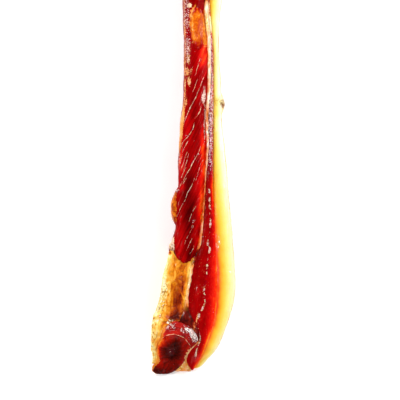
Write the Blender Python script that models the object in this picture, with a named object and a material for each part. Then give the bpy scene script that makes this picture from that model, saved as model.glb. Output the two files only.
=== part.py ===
"""A strip of cured pork belly, lying on one of its cut sides.

The strip runs along Y with its trimmed, rolled-over end at -Y. The rind is on the +X side, the ribs were
on the -X side. The layers stand side by side and run through the whole height: back fat with its rind, the
outer lean and a seam of fat. Along the rib side follow the rolled end of lean, a pad of fat and the long
inner lean, which has an island of fat set in its top.
"""

import math

import bmesh
import bpy
from mathutils import Vector, noise

# Sizes below are in millimetres. The place along the strip, s, is counted from its lower tip.
MM = 0.001
LENGTH = 378.0
MIDDLE_X = 0.6              # the middle of its whole width
GAP = 0.34                  # between neighbouring pieces

# Distances between sections, and the place up to which each holds
STEPS = [(60.0, 4.2), (135.0, 5.4), (LENGTH, 10.6)]

# Borders across the strip as (s, x)
RIND = [(5, 4.8), (9, 9.0), (13.5, 13.0), (18, 17.0), (27, 23.2), (40.5, 29.0), (54, 33.6), (67.5, 37.0),
        (81, 38.5), (94.5, 37.8), (121.5, 36.0), (148.5, 33.6), (175.5, 31.6), (202.5, 29.0), (229.5, 26.2),
        (256.5, 25.4), (297, 23.4), (324, 24.6), (337.5, 26.2), (378, 26.0)]
FAT_INSIDE = [(3.5, 0.8), (6, 1.7), (9, 3.4), (18, 9.0), (27, 12.4), (36, 15.6), (49.5, 19.6), (67.5, 21.8),
              (85.5, 22.3), (112, 21.0), (139.5, 20.0), (175, 19.0), (283.5, 19.2), (310.5, 17.4),
              (337.5, 15.6), (378, 15.2)]
LEAN_INSIDE = [(3, -0.9), (6, -2.2), (9, -4.2), (12.5, -5.3), (17.5, -4.0), (23.4, -0.8), (26, 2.0),
               (29, 4.9), (33, 6.2), (38, 5.6), (45, 3.0), (54, -1.6), (60, -3.4), (67.5, -3.9),
               (76, -3.0), (86, -1.3), (94, 0.2), (101, 1.6), (106, 3.6), (121, 8.0), (140, 9.8),
               (158, 11.0), (176, 12.0), (207, 14.4), (230, 14.2), (265, 16.4), (300, 16.4), (325, 14.2),
               (378, 13.0)]
SEAM_INSIDE = [(0, -22.0), (3, -15.8), (10.6, -8.4), (14, -6.7), (17.5, -5.5), (23.4, -2.3), (26, 0.5),
               (29, 3.4), (32.5, 4.6), (37, 3.0), (41.5, -0.6), (45, -5.2), (48.6, -11.6), (52, -10.6),
               (58, -8.4), (67.5, -6.8), (76, -5.6), (86, -3.8), (94, -2.4), (101, -0.8), (106, 1.6),
               (121, 5.6), (140, 7.8), (158, 9.8), (176, 10.6), (207, 12.4), (230, 11.4), (265, 13.6),
               (300, 13.2), (325, 10.8), (378, 9.6)]
ROLL_LEFT = [(0, -33.0), (3.6, -36.6), (7, -36.2), (12, -32.2), (16, -31.0), (22, -32.2), (27, -31.6),
             (33, -29.3), (39, -27.6), (44, -24.4), (48.6, -18.2)]
RIB_SIDE = [(8, -36.8), (13.5, -36.2), (27, -37.4), (45, -36.6), (58.5, -33.0), (72, -29.0), (90, -26.4),
            (106, -21.8), (113, -20.5), (118, -19.1), (125, -17.2), (131.5, -15.5), (138, -14.8),
            (150, -14.6), (165, -13.2), (175.5, -12.7), (200, -12.3), (216, -11.6), (229, -10.5), (243, -8.8),
            (256.5, -7.9), (300, -7.7), (325, -8.4), (378, -8.8)]

# Heights above the table as (s, z)
FAT_TOP = [(4.5, 16), (20, 25), (50, 29.5), (110, 31), (200, 30), (300, 31), (378, 30.5)]
OUTER_TOP = [(3.5, 15), (20, 24), (45, 28), (100, 30), (180, 32), (280, 32.5), (378, 31.5)]
SEAM_TOP = [(1.5, 8), (12, 17.5), (24, 26), (36, 28), (48, 29.5), (60, 30), (85, 31), (110, 32.4),
            (180, 33.6), (290, 34), (378, 32.6)]
ROLL_TOP = [(0, 7.5), (5, 11.5), (14, 19.5), (24, 28), (32, 34.5), (38, 37.2), (43, 36.8), (48.6, 31)]
PAD_TOP = [(9.4, 10), (20, 18), (32, 26), (44, 31), (60, 30.5), (85, 32), (106, 33)]
INNER_TOP = [(106, 34.5), (122, 36.8), (150, 37), (220, 36), (300, 35), (378, 33.6)]
INNER_BEVEL = [(106, 5.0), (200, 5.5), (262, 8.4), (378, 8.4)]      # radius of its rib-side edge

# Where each piece begins and ends
FAT_ENDS = (5.6, LENGTH)
LEAN_ENDS = (3.8, LENGTH - 2.0)
SEAM_ENDS = (2.6, LENGTH - 0.8)
ROLL_ENDS = (0.0, 48.6)
ROLL_STEP = 1.5                     # how far its face stands above the rim of fat beside it
PAD_ENDS = (9.4, 106.0)
PAD_STEP = (ROLL_ENDS[1] + GAP, ROLL_ENDS[1] + 2 * GAP)     # where the pad widens above the rolled end
INNER_ENDS = (106.6, LENGTH - 2.5)

# Bumps and hollows: place along, half length, height
LOBE = (152.0, 17.0, 5.0)           # the lean swells out of the rib side
LOBE_BLUNT = 0.35                   # the lower, the steeper its two ends
LOBE_UP = 25.0                      # height of its middle
NICK = (244.0, 12.0, 3.0)           # a raised nick in the rind
HOLLOW = (66.0, 27.0, 5.0)          # runs down the pad to the rolled end
HOLLOW_ACROSS = (0.22, 0.62)        # its centre and half width, as shares of the pad's half width
DISH = (18.0, 22.0, 2.2)            # in the slanted face of the rolled end
FOLD_SPACING, FOLD_DEEP = 23.0, 0.55    # slanting furrows in the inner lean
FOLD_SLANT = 1.9                    # how far a furrow climbs for each millimetre across

# The island of fat near the upper end: centre (x, s), half sizes and how far its middle is sunk
ISLAND_AT = (4.5, 311.5)
ISLAND_HALF = (6.4, 19.5, 3.3)
ISLAND_SUNK = 0.4
ISLAND_LEAN = math.radians(2)

PAD_LUMPS = 1.1             # height of the lumps on the pad
RELIEF = 0.9                # unevenness of the open surfaces
RELIEF_LENGTH = 17.0


def clear_scene():
    for obj in list(bpy.data.objects):
        bpy.data.objects.remove(obj)


def line_through(knots):
    """A smooth curve through (s, value) knots that never overshoots them."""
    slopes = [(b[1] - a[1]) / (b[0] - a[0]) for a, b in zip(knots, knots[1:])]
    tangents = [slopes[0]]
    for before, after in zip(slopes, slopes[1:]):
        same_way = before * after > 0
        tangents.append(2 * before * after / (before + after) if same_way else 0.0)
    tangents.append(slopes[-1])

    def value(s):
        s = min(max(s, knots[0][0]), knots[-1][0])
        i = max(k for k in range(len(knots) - 1) if knots[k][0] <= s)
        (s0, v0), (s1, v1) = knots[i], knots[i + 1]
        span = s1 - s0
        t = (s - s0) / span
        return (v0 * (1 + 2 * t) * (1 - t) ** 2 + v1 * t * t * (3 - 2 * t)
                + span * (tangents[i] * t * (1 - t) ** 2 - tangents[i + 1] * t * t * (1 - t)))

    return value


def swell(place, centre, half):
    """1 at the centre, falling smoothly to 0 at half a length away."""
    away = abs(place - centre) / half
    return 0.0 if away >= 1 else (1 - away * away) ** 2


def uneven(s, around, layer):
    """Smooth unevenness between about -1 and 1; around is a place across the surface."""
    near = Vector((s / RELIEF_LENGTH, around / (0.6 * RELIEF_LENGTH), layer * 7.3))
    return noise.noise(near) + 0.5 * noise.noise(near * 2.1)


def power(value, exponent):
    return math.copysign(abs(value) ** exponent, value)


rind = line_through(RIND)
fat_inside = line_through(FAT_INSIDE)
lean_inside = line_through(LEAN_INSIDE)
seam_inside = line_through(SEAM_INSIDE)
roll_left = line_through(ROLL_LEFT)
rib_side = line_through(RIB_SIDE)
fat_top = line_through(FAT_TOP)
outer_top = line_through(OUTER_TOP)
seam_top = line_through(SEAM_TOP)
roll_top = line_through(ROLL_TOP)
pad_top = line_through(PAD_TOP)
inner_top = line_through(INNER_TOP)
inner_bevel = line_through(INNER_BEVEL)


def rounding(first, last, end_round):
    """Places of the sections that round the two ends of a piece."""
    steps = [end_round * share for share in (0.0, 0.12, 0.42, 1.0)]
    return [first + r for r in steps], [last - r for r in reversed(steps)]


def sections(first, last, end_round, finer=1, added=()):
    """Places with a section: a grid that all pieces share, the rounding of both ends and any added."""
    grid = [0.0]
    for limit, step in STEPS:
        while grid[-1] < limit - 0.5 * step:
            grid += [grid[-1] + step * (k + 1) / finer for k in range(finer)]
    start, end = rounding(first, last, end_round)
    inside = [place for place in grid + list(added) if start[-1] + 0.25 < place < end[0] - 0.25]
    return start + sorted(inside) + end


def end_inset(s, ends, end_round):
    """How far a section draws in near the ends of its piece."""
    near = min(s - ends[0], ends[1] - s)
    if near >= end_round:
        return 0.0
    return end_round * (1 - math.sqrt(1 - (1 - near / end_round) ** 2)) * 0.8


def upright_box(s, left, right, top, radii, points, shape_point):
    """A ring round a box that stands on the table. radii are those of its upper edges, left and right, and
    points are how many lie on each flank, on each of these edges and on top.
    shape_point(x, z, across, up) moves a point: across runs from -1 to 1, up from 0 at half height to 1."""
    width = right - left
    edges = [min(r, 0.42 * width, 0.6 * top) for r in radii]
    ease = min(0.9, 0.25 * width)
    on_flank, on_edge, on_top = points
    outline = [(left + ease, 0.0)]
    outline += [(left, ease + (top - edges[0] - ease) * k / on_flank) for k in range(on_flank)]
    for k in range(on_edge):
        turn = math.pi / 2 * k / (on_edge - 1)
        outline.append((left + edges[0] * (1 - math.cos(turn)), top - edges[0] * (1 - math.sin(turn))))
    span = width - edges[0] - edges[1]
    outline += [(left + edges[0] + span * (k + 1) / (on_top + 1), top) for k in range(on_top)]
    for k in reversed(range(on_edge)):
        turn = math.pi / 2 * k / (on_edge - 1)
        outline.append((right - edges[1] * (1 - math.cos(turn)), top - edges[1] * (1 - math.sin(turn))))
    outline += [(right, ease + (top - edges[1] - ease) * k / on_flank) for k in reversed(range(on_flank))]
    outline.append((right - ease, 0.0))
    ring = []
    for x, z in outline:
        across = (2 * x - left - right) / width
        up = min(1.0, max(0.0, 2 * z / top - 1))
        x, raised = shape_point(x, z, across, up)
        ring.append((x, s, max(0.0, raised) if z > 0 else 0.0))
    return ring


def uneven_top(s, x, up, layer, crown, across):
    """Rise or fall of a point on top."""
    return up * (crown * (1 - across * across) + RELIEF * uneven(s, x, layer))


def reach_over(s, across, own_top, next_top):
    """How far a top rises or falls on its right half to meet the top of the next piece."""
    return (next_top(s) - own_top(s)) * max(0.0, across) ** 2


def low_fade(z):
    """Keeps swellings of a flank off the table."""
    return 0.3 + 0.7 * min(1.0, z / 9.0)


def fat_ring(s):
    draw_in = end_inset(s, FAT_ENDS, 3.0)
    left = fat_inside(s) + GAP / 2
    right = rind(s) - min(draw_in, 0.4 * (rind(s) - left))

    def shape_point(x, z, across, up):
        nick = NICK[2] * swell(s, NICK[0], NICK[1]) * swell(z, 22, 14)
        if across > 0:
            x += across ** 4 * (nick + 0.5 * RELIEF * uneven(s, z + 50, 0)) * low_fade(z)
        return x, z + uneven_top(s, x, up, 0, 0.6, across)

    return upright_box(s, left, right, fat_top(s) - draw_in, (0.8, 4.5), (4, 4, 4), shape_point)


def outer_lean_ring(s):
    draw_in = end_inset(s, LEAN_ENDS, 1.6)
    left, right = lean_inside(s) + GAP / 2, fat_inside(s) - GAP / 2
    thin = min(draw_in, 0.3 * (right - left))

    def shape_point(x, z, across, up):
        z += uneven_top(s, x, up, 1, 1.2, across)
        return x, z + up * reach_over(s, across, outer_top, fat_top)

    top = outer_top(s) - draw_in
    return upright_box(s, left + thin, right - thin, top, (0.8, 0.8), (2, 3, 4), shape_point)


def seam_ring(s):
    draw_in = end_inset(s, SEAM_ENDS, 1.2)
    left, right = seam_inside(s) + GAP / 2, lean_inside(s) - GAP / 2
    thin = min(draw_in, 0.3 * (right - left))

    def shape_point(x, z, across, up):
        return x, z + uneven_top(s, x, up, 2, 0.6, across)

    top = seam_top(s) - draw_in
    return upright_box(s, left + thin, right - thin, top, (0.8, 0.8), (2, 3, 2), shape_point)


def roll_ring(s):
    """The rolled end: its slanted face is dished and its shoulder stands above the pad."""
    draw_in = end_inset(s, ROLL_ENDS, 2.6)
    left, right = roll_left(s) + GAP / 2, seam_inside(s) - GAP / 2
    thin = min(draw_in, 0.4 * (right - left))

    def shape_point(x, z, across, up):
        dish = DISH[2] * swell(s, DISH[0], DISH[1]) * swell(across, 0.05, 0.95)
        z += uneven_top(s, x, up, 3, 1.6, across) - up * dish
        return x, z

    top = roll_top(s) - draw_in
    return upright_box(s, left + thin, right - thin, top, (2.6, 2.6), (3, 4, 7), shape_point)


def pad_right(s):
    """The pad is a narrow rim beside the rolled end, and as wide as the seam allows above it."""
    return roll_left(s) if s <= PAD_STEP[0] else seam_inside(s)


def beside_pad_top(s):
    """What the pad's inner edge meets: just below the rolled end's top, or the seam's top above it."""
    return roll_top(s) - ROLL_STEP if s <= PAD_STEP[0] else seam_top(s)


def pad_ring(s):
    draw_in = end_inset(s, PAD_ENDS, 1.8)
    left, right = rib_side(s), pad_right(s) - GAP / 2
    thin = min(draw_in, 0.3 * (right - left))

    def shape_point(x, z, across, up):
        hollow = HOLLOW[2] * swell(s, HOLLOW[0], HOLLOW[1]) * swell(across, *HOLLOW_ACROSS)
        lumps = PAD_LUMPS * uneven(1.7 * s, 1.5 * x, 6)
        z += uneven_top(s, x, up, 4, 1.2, across) + up * (lumps - hollow)
        z += up * reach_over(s, across, pad_top, beside_pad_top)
        if across < 0:
            x += across ** 2 * 1.2 * RELIEF * uneven(1.4 * s, z + 50, 4) * low_fade(z)
        return x, z

    right -= 0.5 * thin
    return upright_box(s, left + thin, right, pad_top(s) - draw_in, (6.0, 1.0), (3, 4, 7), shape_point)


def inner_ring(s):
    """The long inner lean: slanting furrows on top, a bevelled rib-side edge and a lobe."""
    draw_in = end_inset(s, INNER_ENDS, 5.0)
    left, right = rib_side(s) + draw_in, seam_inside(s) - GAP / 2 - 0.5 * draw_in

    def shape_point(x, z, across, up):
        furrow = 0.5 - 0.5 * math.cos(math.tau * (s - FOLD_SLANT * x) / FOLD_SPACING)
        z += uneven_top(s, x, up, 5, 1.0, across) - up * FOLD_DEEP * furrow ** 3
        z += up * reach_over(s, across, inner_top, seam_top)
        if across < 0:
            lobe = LOBE[2] * swell(s, LOBE[0], LOBE[1]) ** LOBE_BLUNT * swell(z, LOBE_UP, 19)
            x += across ** 2 * (0.9 * RELIEF * uneven(s, z + 50, 5) - lobe) * low_fade(z)
        return x, z

    top, edges = inner_top(s) - draw_in, (inner_bevel(s), 1.2)
    return upright_box(s, left, right, top, edges, (4, 4, 7), shape_point)


def placed(x, s, z):
    """From (x, s, z) to metres round the middle of the underside."""
    return Vector((x - MIDDLE_X, s - LENGTH / 2, z)) * MM


def loft(name, ring_at, places, material):
    """A closed body through the rings at these places."""
    shape = bmesh.new()
    rings = [[shape.verts.new(placed(*point)) for point in ring_at(at)] for at in places]
    for lower, upper in zip(rings, rings[1:]):
        for j in range(len(lower)):
            k = (j + 1) % len(lower)
            shape.faces.new((lower[j], lower[k], upper[k]))
            shape.faces.new((lower[j], upper[k], upper[j]))
    shape.faces.new(list(reversed(rings[0])))
    shape.faces.new(rings[-1])
    bmesh.ops.recalc_face_normals(shape, faces=shape.faces)
    return finished(name, shape, material)


def finished(name, shape, material):
    mesh = bpy.data.meshes.new(name)
    shape.to_mesh(mesh)
    shape.free()
    mesh.materials.append(material)
    mesh.shade_smooth()
    obj = bpy.data.objects.new(name, mesh)
    bpy.context.scene.collection.objects.link(obj)
    return obj


def island(name, material, grow=0.0):
    """A flattened, slightly lumpy egg of fat whose crown stands a little proud of the lean."""
    shape = bmesh.new()
    bmesh.ops.create_uvsphere(shape, u_segments=20, v_segments=12, radius=1.0)
    x0, s0 = ISLAND_AT
    half = [h + grow for h in ISLAND_HALF]
    z0 = inner_top(s0) - ISLAND_SUNK
    for vertex in shape.verts:
        lump = 1 + 0.06 * noise.noise(vertex.co * 1.7)
        x, y = vertex.co.x * half[0] * lump, vertex.co.y * half[1] * lump
        z = power(vertex.co.z, 0.75) * half[2] * lump
        across = x * math.cos(ISLAND_LEAN) - y * math.sin(ISLAND_LEAN)
        along = x * math.sin(ISLAND_LEAN) + y * math.cos(ISLAND_LEAN)
        vertex.co = placed(x0 + across, s0 + along, z0 + z)
    return finished(name, shape, material)


def carve(body, cutter):
    """Cuts the cutter's shape out of the body and hides the cutter."""
    cut = body.modifiers.new("seat of " + cutter.name, "BOOLEAN")
    cut.operation = "DIFFERENCE"
    cut.solver = "EXACT"
    cut.object = cutter
    cutter.hide_render = True
    cutter.display_type = "WIRE"


def meat_material(name, colour, roughness):
    material = bpy.data.materials.new(name)
    material.use_nodes = True
    shader = material.node_tree.nodes["Principled BSDF"]
    shader.inputs["Base Color"].default_value = (*colour, 1.0)
    shader.inputs["Roughness"].default_value = roughness
    shader.inputs["Metallic"].default_value = 0.0
    material.diffuse_color = (*colour, 1.0)
    return material


def build():
    clear_scene()
    golden_fat = meat_material("golden_fat", (0.93, 0.66, 0.20), 0.32)
    seam_cream = meat_material("seam_cream", (0.90, 0.58, 0.36), 0.30)
    pad_amber = meat_material("pad_amber", (0.85, 0.46, 0.12), 0.30)
    island_tan = meat_material("island_tan", (0.78, 0.34, 0.08), 0.30)
    outer_red = meat_material("outer_red", (0.42, 0.012, 0.012), 0.28)
    inner_red = meat_material("inner_red", (0.33, 0.008, 0.007), 0.25)
    roll_red = meat_material("roll_red", (0.20, 0.006, 0.005), 0.22)

    loft("back_fat", fat_ring, sections(*FAT_ENDS, 3.0), golden_fat)
    loft("outer_lean", outer_lean_ring, sections(*LEAN_ENDS, 1.6), outer_red)
    loft("seam_fat", seam_ring, sections(*SEAM_ENDS, 1.2), seam_cream)
    beside_pad = rounding(*PAD_ENDS, 1.8)[0]
    beside_roll = rounding(*ROLL_ENDS, 2.6)[1]
    loft("rolled_end", roll_ring, sections(*ROLL_ENDS, 2.6, added=beside_pad), roll_red)
    loft("fat_pad", pad_ring, sections(*PAD_ENDS, 1.8, added=[*beside_roll, *PAD_STEP]), pad_amber)
    inner_lean = loft("inner_lean", inner_ring, sections(*INNER_ENDS, 5.0, finer=2), inner_red)
    island("fat_island", island_tan)
    carve(inner_lean, island("island_seat", island_tan, grow=GAP))


build()
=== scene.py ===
import math
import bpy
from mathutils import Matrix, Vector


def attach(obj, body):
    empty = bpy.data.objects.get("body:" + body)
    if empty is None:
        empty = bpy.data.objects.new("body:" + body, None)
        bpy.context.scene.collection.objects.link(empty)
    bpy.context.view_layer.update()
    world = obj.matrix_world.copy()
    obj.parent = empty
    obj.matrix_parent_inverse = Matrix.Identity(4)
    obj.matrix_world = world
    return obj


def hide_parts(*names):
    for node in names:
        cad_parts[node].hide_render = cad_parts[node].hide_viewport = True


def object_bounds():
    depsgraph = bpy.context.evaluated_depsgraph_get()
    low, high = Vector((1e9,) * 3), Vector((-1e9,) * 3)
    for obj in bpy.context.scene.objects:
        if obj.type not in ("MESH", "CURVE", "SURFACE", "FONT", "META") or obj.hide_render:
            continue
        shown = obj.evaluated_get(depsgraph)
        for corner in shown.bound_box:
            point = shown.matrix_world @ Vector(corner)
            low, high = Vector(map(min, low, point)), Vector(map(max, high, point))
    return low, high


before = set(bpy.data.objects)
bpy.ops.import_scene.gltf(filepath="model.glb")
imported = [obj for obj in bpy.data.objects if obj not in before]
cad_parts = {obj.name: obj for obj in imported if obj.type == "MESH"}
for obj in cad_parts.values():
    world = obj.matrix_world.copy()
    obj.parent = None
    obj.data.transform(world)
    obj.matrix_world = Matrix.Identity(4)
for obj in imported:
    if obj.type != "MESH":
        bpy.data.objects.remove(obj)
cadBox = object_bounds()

from types import SimpleNamespace

import bpy
import numpy as np
from mathutils import Vector
from mathutils.bvhtree import BVHTree

# A strip of cured pork belly on a pale floor. Lengths are millimetres: x runs across from the rib side to
# the rind, s along the strip from its lower tip, z up from the floor.
strip = {
    "length": 378.0,
    "middleX": 0.6,     # middle of its whole width
    "overlap": 0.06,    # neighbouring layers reach this far into each other, as grown together
    "margin": 0.03,     # least distance from the faces of the solids' box
}
print("cured pork belly: frame loaded")


# Smooth lines, noise and soft steps

def smoothLine(*knots):     # a curve through (s, value) knots that never overshoots them
    at, value = np.array(knots, float).T
    slope = np.diff(value) / np.diff(at)
    tangent = np.zeros_like(at)
    tangent[0], tangent[-1] = slope[0], slope[-1]
    product, both = slope[:-1] * slope[1:], slope[:-1] + slope[1:]
    sameWay = product > 0
    tangent[1:-1][sameWay] = 2 * product[sameWay] / both[sameWay]

    def line(s):
        s = np.clip(s, at[0], at[-1])
        i = np.clip(np.searchsorted(at, s, side="right") - 1, 0, len(at) - 2)
        span = at[i + 1] - at[i]
        t = (s - at[i]) / span
        return (value[i] * (1 + 2 * t) * (1 - t) ** 2 + value[i + 1] * t * t * (3 - 2 * t)
                + span * (tangent[i] * t * (1 - t) ** 2 - tangent[i + 1] * t * t * (1 - t)))

    return line


hashRandom = np.random.default_rng(23)
hashOrder = np.concatenate([hashRandom.permutation(256)] * 2)
hashSlopes = hashRandom.normal(size=(256, 3))
hashSlopes /= np.linalg.norm(hashSlopes, axis=1)[:, None]


def swirl(x, y, z=0.0):     # smooth noise, about -1 to 1
    at = np.broadcast_arrays(np.asarray(x, float), y, z)
    cell = [np.floor(a).astype(int) for a in at]
    part = [a - c for a, c in zip(at, cell)]
    ease = [t * t * t * (t * (t * 6 - 15) + 10) for t in part]
    total = 0.0
    for corner in range(8):
        d = (corner & 1, corner >> 1 & 1, corner >> 2)
        h = hashOrder[(cell[0] + d[0]) & 255]
        h = hashOrder[(h + cell[1] + d[1]) & 255]
        h = hashOrder[(h + cell[2] + d[2]) & 255]
        toward = sum(hashSlopes[h][..., k] * (part[k] - d[k]) for k in range(3))
        weight = 1.0
        for k in range(3):
            weight = weight * (ease[k] if d[k] else 1 - ease[k])
        total = total + toward * weight
    return 1.5 * total


def rough(x, y, z=0.0, layers=3):       # swirl with finer swirls added
    total, size = 0.0, 1.0
    for k in range(layers):
        total = total + size * swirl(x * 2 ** k, y * 2 ** k, z + 5.3 * k)
        size *= 0.5
    return total / 1.6


def ramp(value, low, high):     # 0 below low, 1 above high, smooth between
    t = np.clip((value - low) / (high - low), 0, 1)
    return t * t * (3 - 2 * t)


def swell(place, centre, half):     # 1 at the centre, 0 at half a length away
    away = np.clip(np.abs(place - centre) / half, 0, 1)
    return (1 - away * away) ** 2


def spot(x, s, x0, s0, halfX, halfS):       # 1 at (x0, s0), 0 from the oval round it on
    return swell(np.hypot((x - x0) / halfX, (s - s0) / halfS), 0, 1)


def spots(x, s, table):     # adds up ovals of (x, s, half sizes, how much)
    return sum(amount * spot(x, s, *place) for *place, amount in table)


def fade(distance, reach):      # 1 at a border, falling off with the distance from it
    return np.exp(-np.clip(distance, 0, 40) / reach)


def crack(value, width):        # 1 where the value crosses 0
    return np.exp(-(value / width) ** 2)


def blend(a, b, share):
    return a * (1 - share) + b * share


def uneven(line, amount, length, seed, middle=189.0, half=1e6):     # the same line with small waves
    return lambda s: line(s) + amount * swirl(s / length, seed) * swell(s, middle, half)


# Borders between the layers, and heights of their tops, as (s, value)
rind = smoothLine(
    (5, 4.8), (9, 9), (13.5, 13), (18, 17), (27, 23.2), (40.5, 29), (54, 33.6), (67.5, 37), (81, 38.5),
    (94.5, 37.8), (121.5, 36), (148.5, 33.6), (175.5, 31.6), (202.5, 29), (229.5, 26.2), (256.5, 25.4),
    (297, 23.4), (324, 24.6), (337.5, 26.2), (378, 26))
fatInside = smoothLine(
    (3.5, 0.8), (6, 1.7), (9, 3.4), (18, 9), (27, 12.4), (36, 15.6), (49.5, 19.6), (67.5, 21.8),
    (85.5, 22.3), (112, 21), (139.5, 20), (175, 19), (283.5, 19.2), (310.5, 17.4), (337.5, 15.6),
    (378, 15.2))
leanInside = smoothLine(
    (3, -0.9), (6, -2.2), (9, -4.2), (12.5, -5.3), (17.5, -4), (23.4, -0.8), (26, 2), (29, 4.9), (33, 6.2),
    (38, 5.6), (45, 3), (54, -1.6), (60, -3.4), (67.5, -3.9), (76, -3), (86, -1.3), (94, 0.2), (101, 1.6),
    (106, 3.6), (121, 8), (140, 9.8), (158, 11), (176, 12), (207, 14.4), (230, 14.2), (265, 16.4),
    (300, 16.4), (325, 14.2), (378, 13))
seamInside = smoothLine(
    (0, -22), (3, -15.8), (10.6, -8.4), (14, -6.7), (17.5, -5.5), (23.4, -2.3), (26, 0.5), (29, 3.4),
    (32.5, 4.6), (37, 3), (41.5, -0.6), (45, -5.2), (48.6, -11.6), (52, -10.6), (58, -8.4), (67.5, -6.8),
    (76, -5.6), (86, -3.8), (94, -2.4), (101, -0.8), (106, 1.6), (121, 5.6), (140, 7.8), (158, 9.8),
    (176, 10.6), (207, 12.4), (230, 11.4), (265, 13.6), (300, 13.2), (325, 10.8), (378, 9.6))
rollLeft = smoothLine(
    (0, -33), (3.6, -36.6), (7, -36.2), (12, -32.2), (16, -31), (22, -32.2), (27, -31.6), (33, -29.3),
    (39, -27.6), (44, -24.4), (48.6, -18.2))
ribSide = smoothLine(
    (8, -36.8), (13.5, -36.2), (27, -37.4), (45, -36.6), (58.5, -33), (72, -29), (90, -26.4), (106, -21.8),
    (113, -20.5), (118, -19.1), (125, -17.2), (131.5, -15.5), (138, -14.8), (150, -14.6), (165, -13.2),
    (175.5, -12.7), (200, -12.3), (216, -11.6), (229, -10.5), (243, -8.8), (256.5, -7.9), (300, -7.7),
    (325, -8.4), (378, -8.8))
leanInside, fatInside = uneven(leanInside, 0.3, 4.5, 2.7), uneven(fatInside, 0.25, 6.0, 5.1)
seamInside, rollLeft = uneven(seamInside, 0.2, 3.7, 8.3), uneven(rollLeft, 0.4, 4.0, 1.9)
leanInside = uneven(leanInside, 0.9, 3.6, 6.1, 84.0, 25.0)      # scalloped beside the pad
fatTop = smoothLine((4.5, 16), (20, 25), (50, 29.5), (110, 31), (200, 30), (300, 31), (378, 30.5))
outerTop = smoothLine((3.5, 15), (20, 24), (45, 28), (100, 30), (180, 32), (280, 32.5), (378, 31.5))
seamTop = smoothLine(
    (1.5, 8), (12, 17.5), (24, 26), (36, 28), (48, 29.5), (60, 30), (85, 31), (110, 32.4), (180, 33.6),
    (290, 34), (378, 32.6))
rollTop = smoothLine(
    (0, 7.5), (5, 11.5), (14, 19.5), (24, 28), (32, 34.5), (38, 37.2), (43, 36.8), (48.6, 31))
padTop = smoothLine((9.4, 10), (20, 18), (32, 26), (44, 31), (60, 30.5), (85, 32), (106, 33))
innerTop = smoothLine((106, 34.5), (122, 36.8), (150, 37), (220, 36), (300, 35), (378, 33.6))
innerBevel = smoothLine((106, 5), (200, 5.5), (262, 8.4), (378, 8.4))


# Upright layers

def alongPlaces(layer):     # places of the rings: closed cap, rounded end, body, and the same back
    first, last = layer["ends"]
    r = layer["endRound"]
    turn = np.linspace(0, math.pi / 2, layer["roundRings"])
    closing = np.linspace(0.03, 1, layer["capRings"], endpoint=False)
    body = np.linspace(first + r, last - r, max(4, int((last - first - 2 * r) / layer["step"])))[1:-1]
    start = first + r * (1 - np.cos(turn))
    inset = 0.8 * r * (1 - np.sin(turn))
    none, full, still = np.zeros(len(body)), np.ones(len(turn)), 0 * closing
    return SimpleNamespace(
        s=np.concatenate([first + still, start, body, last + first - start[::-1], last + still]),
        inset=np.concatenate([0.8 * r + still, inset, none, inset[::-1], 0.8 * r + still]),
        size=np.concatenate([closing, full, none + 1, full, closing[::-1]]))


def uprightLayer(layer):        # rings round a box with rounded upper edges
    places = alongPlaces(layer)
    at = places.s

    def column(a):
        return np.broadcast_to(np.asarray(a(at) if callable(a) else a, float), at.shape)[:, None]

    growLeft, growRight = layer["grown"]
    left = layer["left"](at) - growLeft * strip["overlap"]
    right = layer["right"](at) + growRight * strip["overlap"]
    most, thinLeft, thinRight = layer["thin"]
    thin = np.minimum(places.inset, most * (right - left))
    left, right = column(left + thinLeft * thin), column(right - thinRight * thin)
    top, size, width = column(layer["top"](at) - places.inset), column(places.size), right - left
    eL, eR = (np.minimum(np.minimum(column(e), 0.42 * width), 0.6 * top) for e in layer["edges"])
    foot = np.minimum(0.9, 0.25 * width)
    onFlank, onEdge, onTop, onUnder = layer["points"]
    flank, share, under = (np.linspace(0, 1, k, endpoint=False)[None] for k in (onFlank, onTop, onUnder))
    turn, small = (np.linspace(0, math.pi / 2, k, endpoint=False)[None] for k in (onEdge, 3))
    parts = [       # x, z, up, leftward, rightward
        (left + 0 * flank, foot + (top - eL - foot) * flank, 0, 1, 0),
        (left + eL * (1 - np.cos(turn)), top - eL * (1 - np.sin(turn)), np.sin(turn), np.cos(turn), 0),
        (left + eL + (width - eL - eR) * share, top + 0 * share, 1, 0, 0),
        (right - eR * (1 - np.sin(turn)), top - eR * (1 - np.cos(turn)), np.cos(turn), 0, np.sin(turn)),
        (right + 0 * flank, top - eR - (top - eR - foot) * flank, 0, 0, 1),
        (right - foot * (1 - np.cos(small)), foot * (1 - np.sin(small)), 0, 0, 0),
        (right - foot - (width - 2 * foot) * under, 0 * left + 0 * under, 0, 0, 0),
        (left + foot * (1 - np.sin(small)), foot * (1 - np.cos(small)), 0, 0, 0),
    ]
    grid = SimpleNamespace()
    for k, name in enumerate(("x", "z", "up", "leftward", "rightward")):
        setattr(grid, name, np.concatenate([p[k] + 0 * p[0] for p in parts], axis=1))
    grid.s = column(at) + 0 * grid.x
    grid.across = (2 * grid.x - left - right) / width
    grid.left, grid.right, grid.top, grid.size = (a + 0 * grid.x for a in (left, right, top, size))
    # wrap runs across like x, and on down both flanks
    drop = grid.top - grid.z
    grid.wrap = grid.x - np.where(grid.across < 0, drop, -drop) * (grid.z > 0)
    middleX, middleZ = (left + right) / 2, top / 2
    grid.x = middleX + (grid.x - middleX) * size
    grid.z = middleZ + (grid.z - middleZ) * size
    grid.cap = 1 - ramp(grid.size, 0.95, 1)
    return grid


def cutEnds(grid):      # after the relief: on both end faces the marks follow the face itself, not its rings
    for name in ("up", "leftward", "rightward"):
        setattr(grid, name, getattr(grid, name) * (1 - grid.cap))
    plain = (2 * grid.x - grid.left - grid.right) / (grid.right - grid.left)
    grid.across = np.where(grid.cap > 0, np.clip(plain, -1, 1), grid.across)
    return grid.cap


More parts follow.
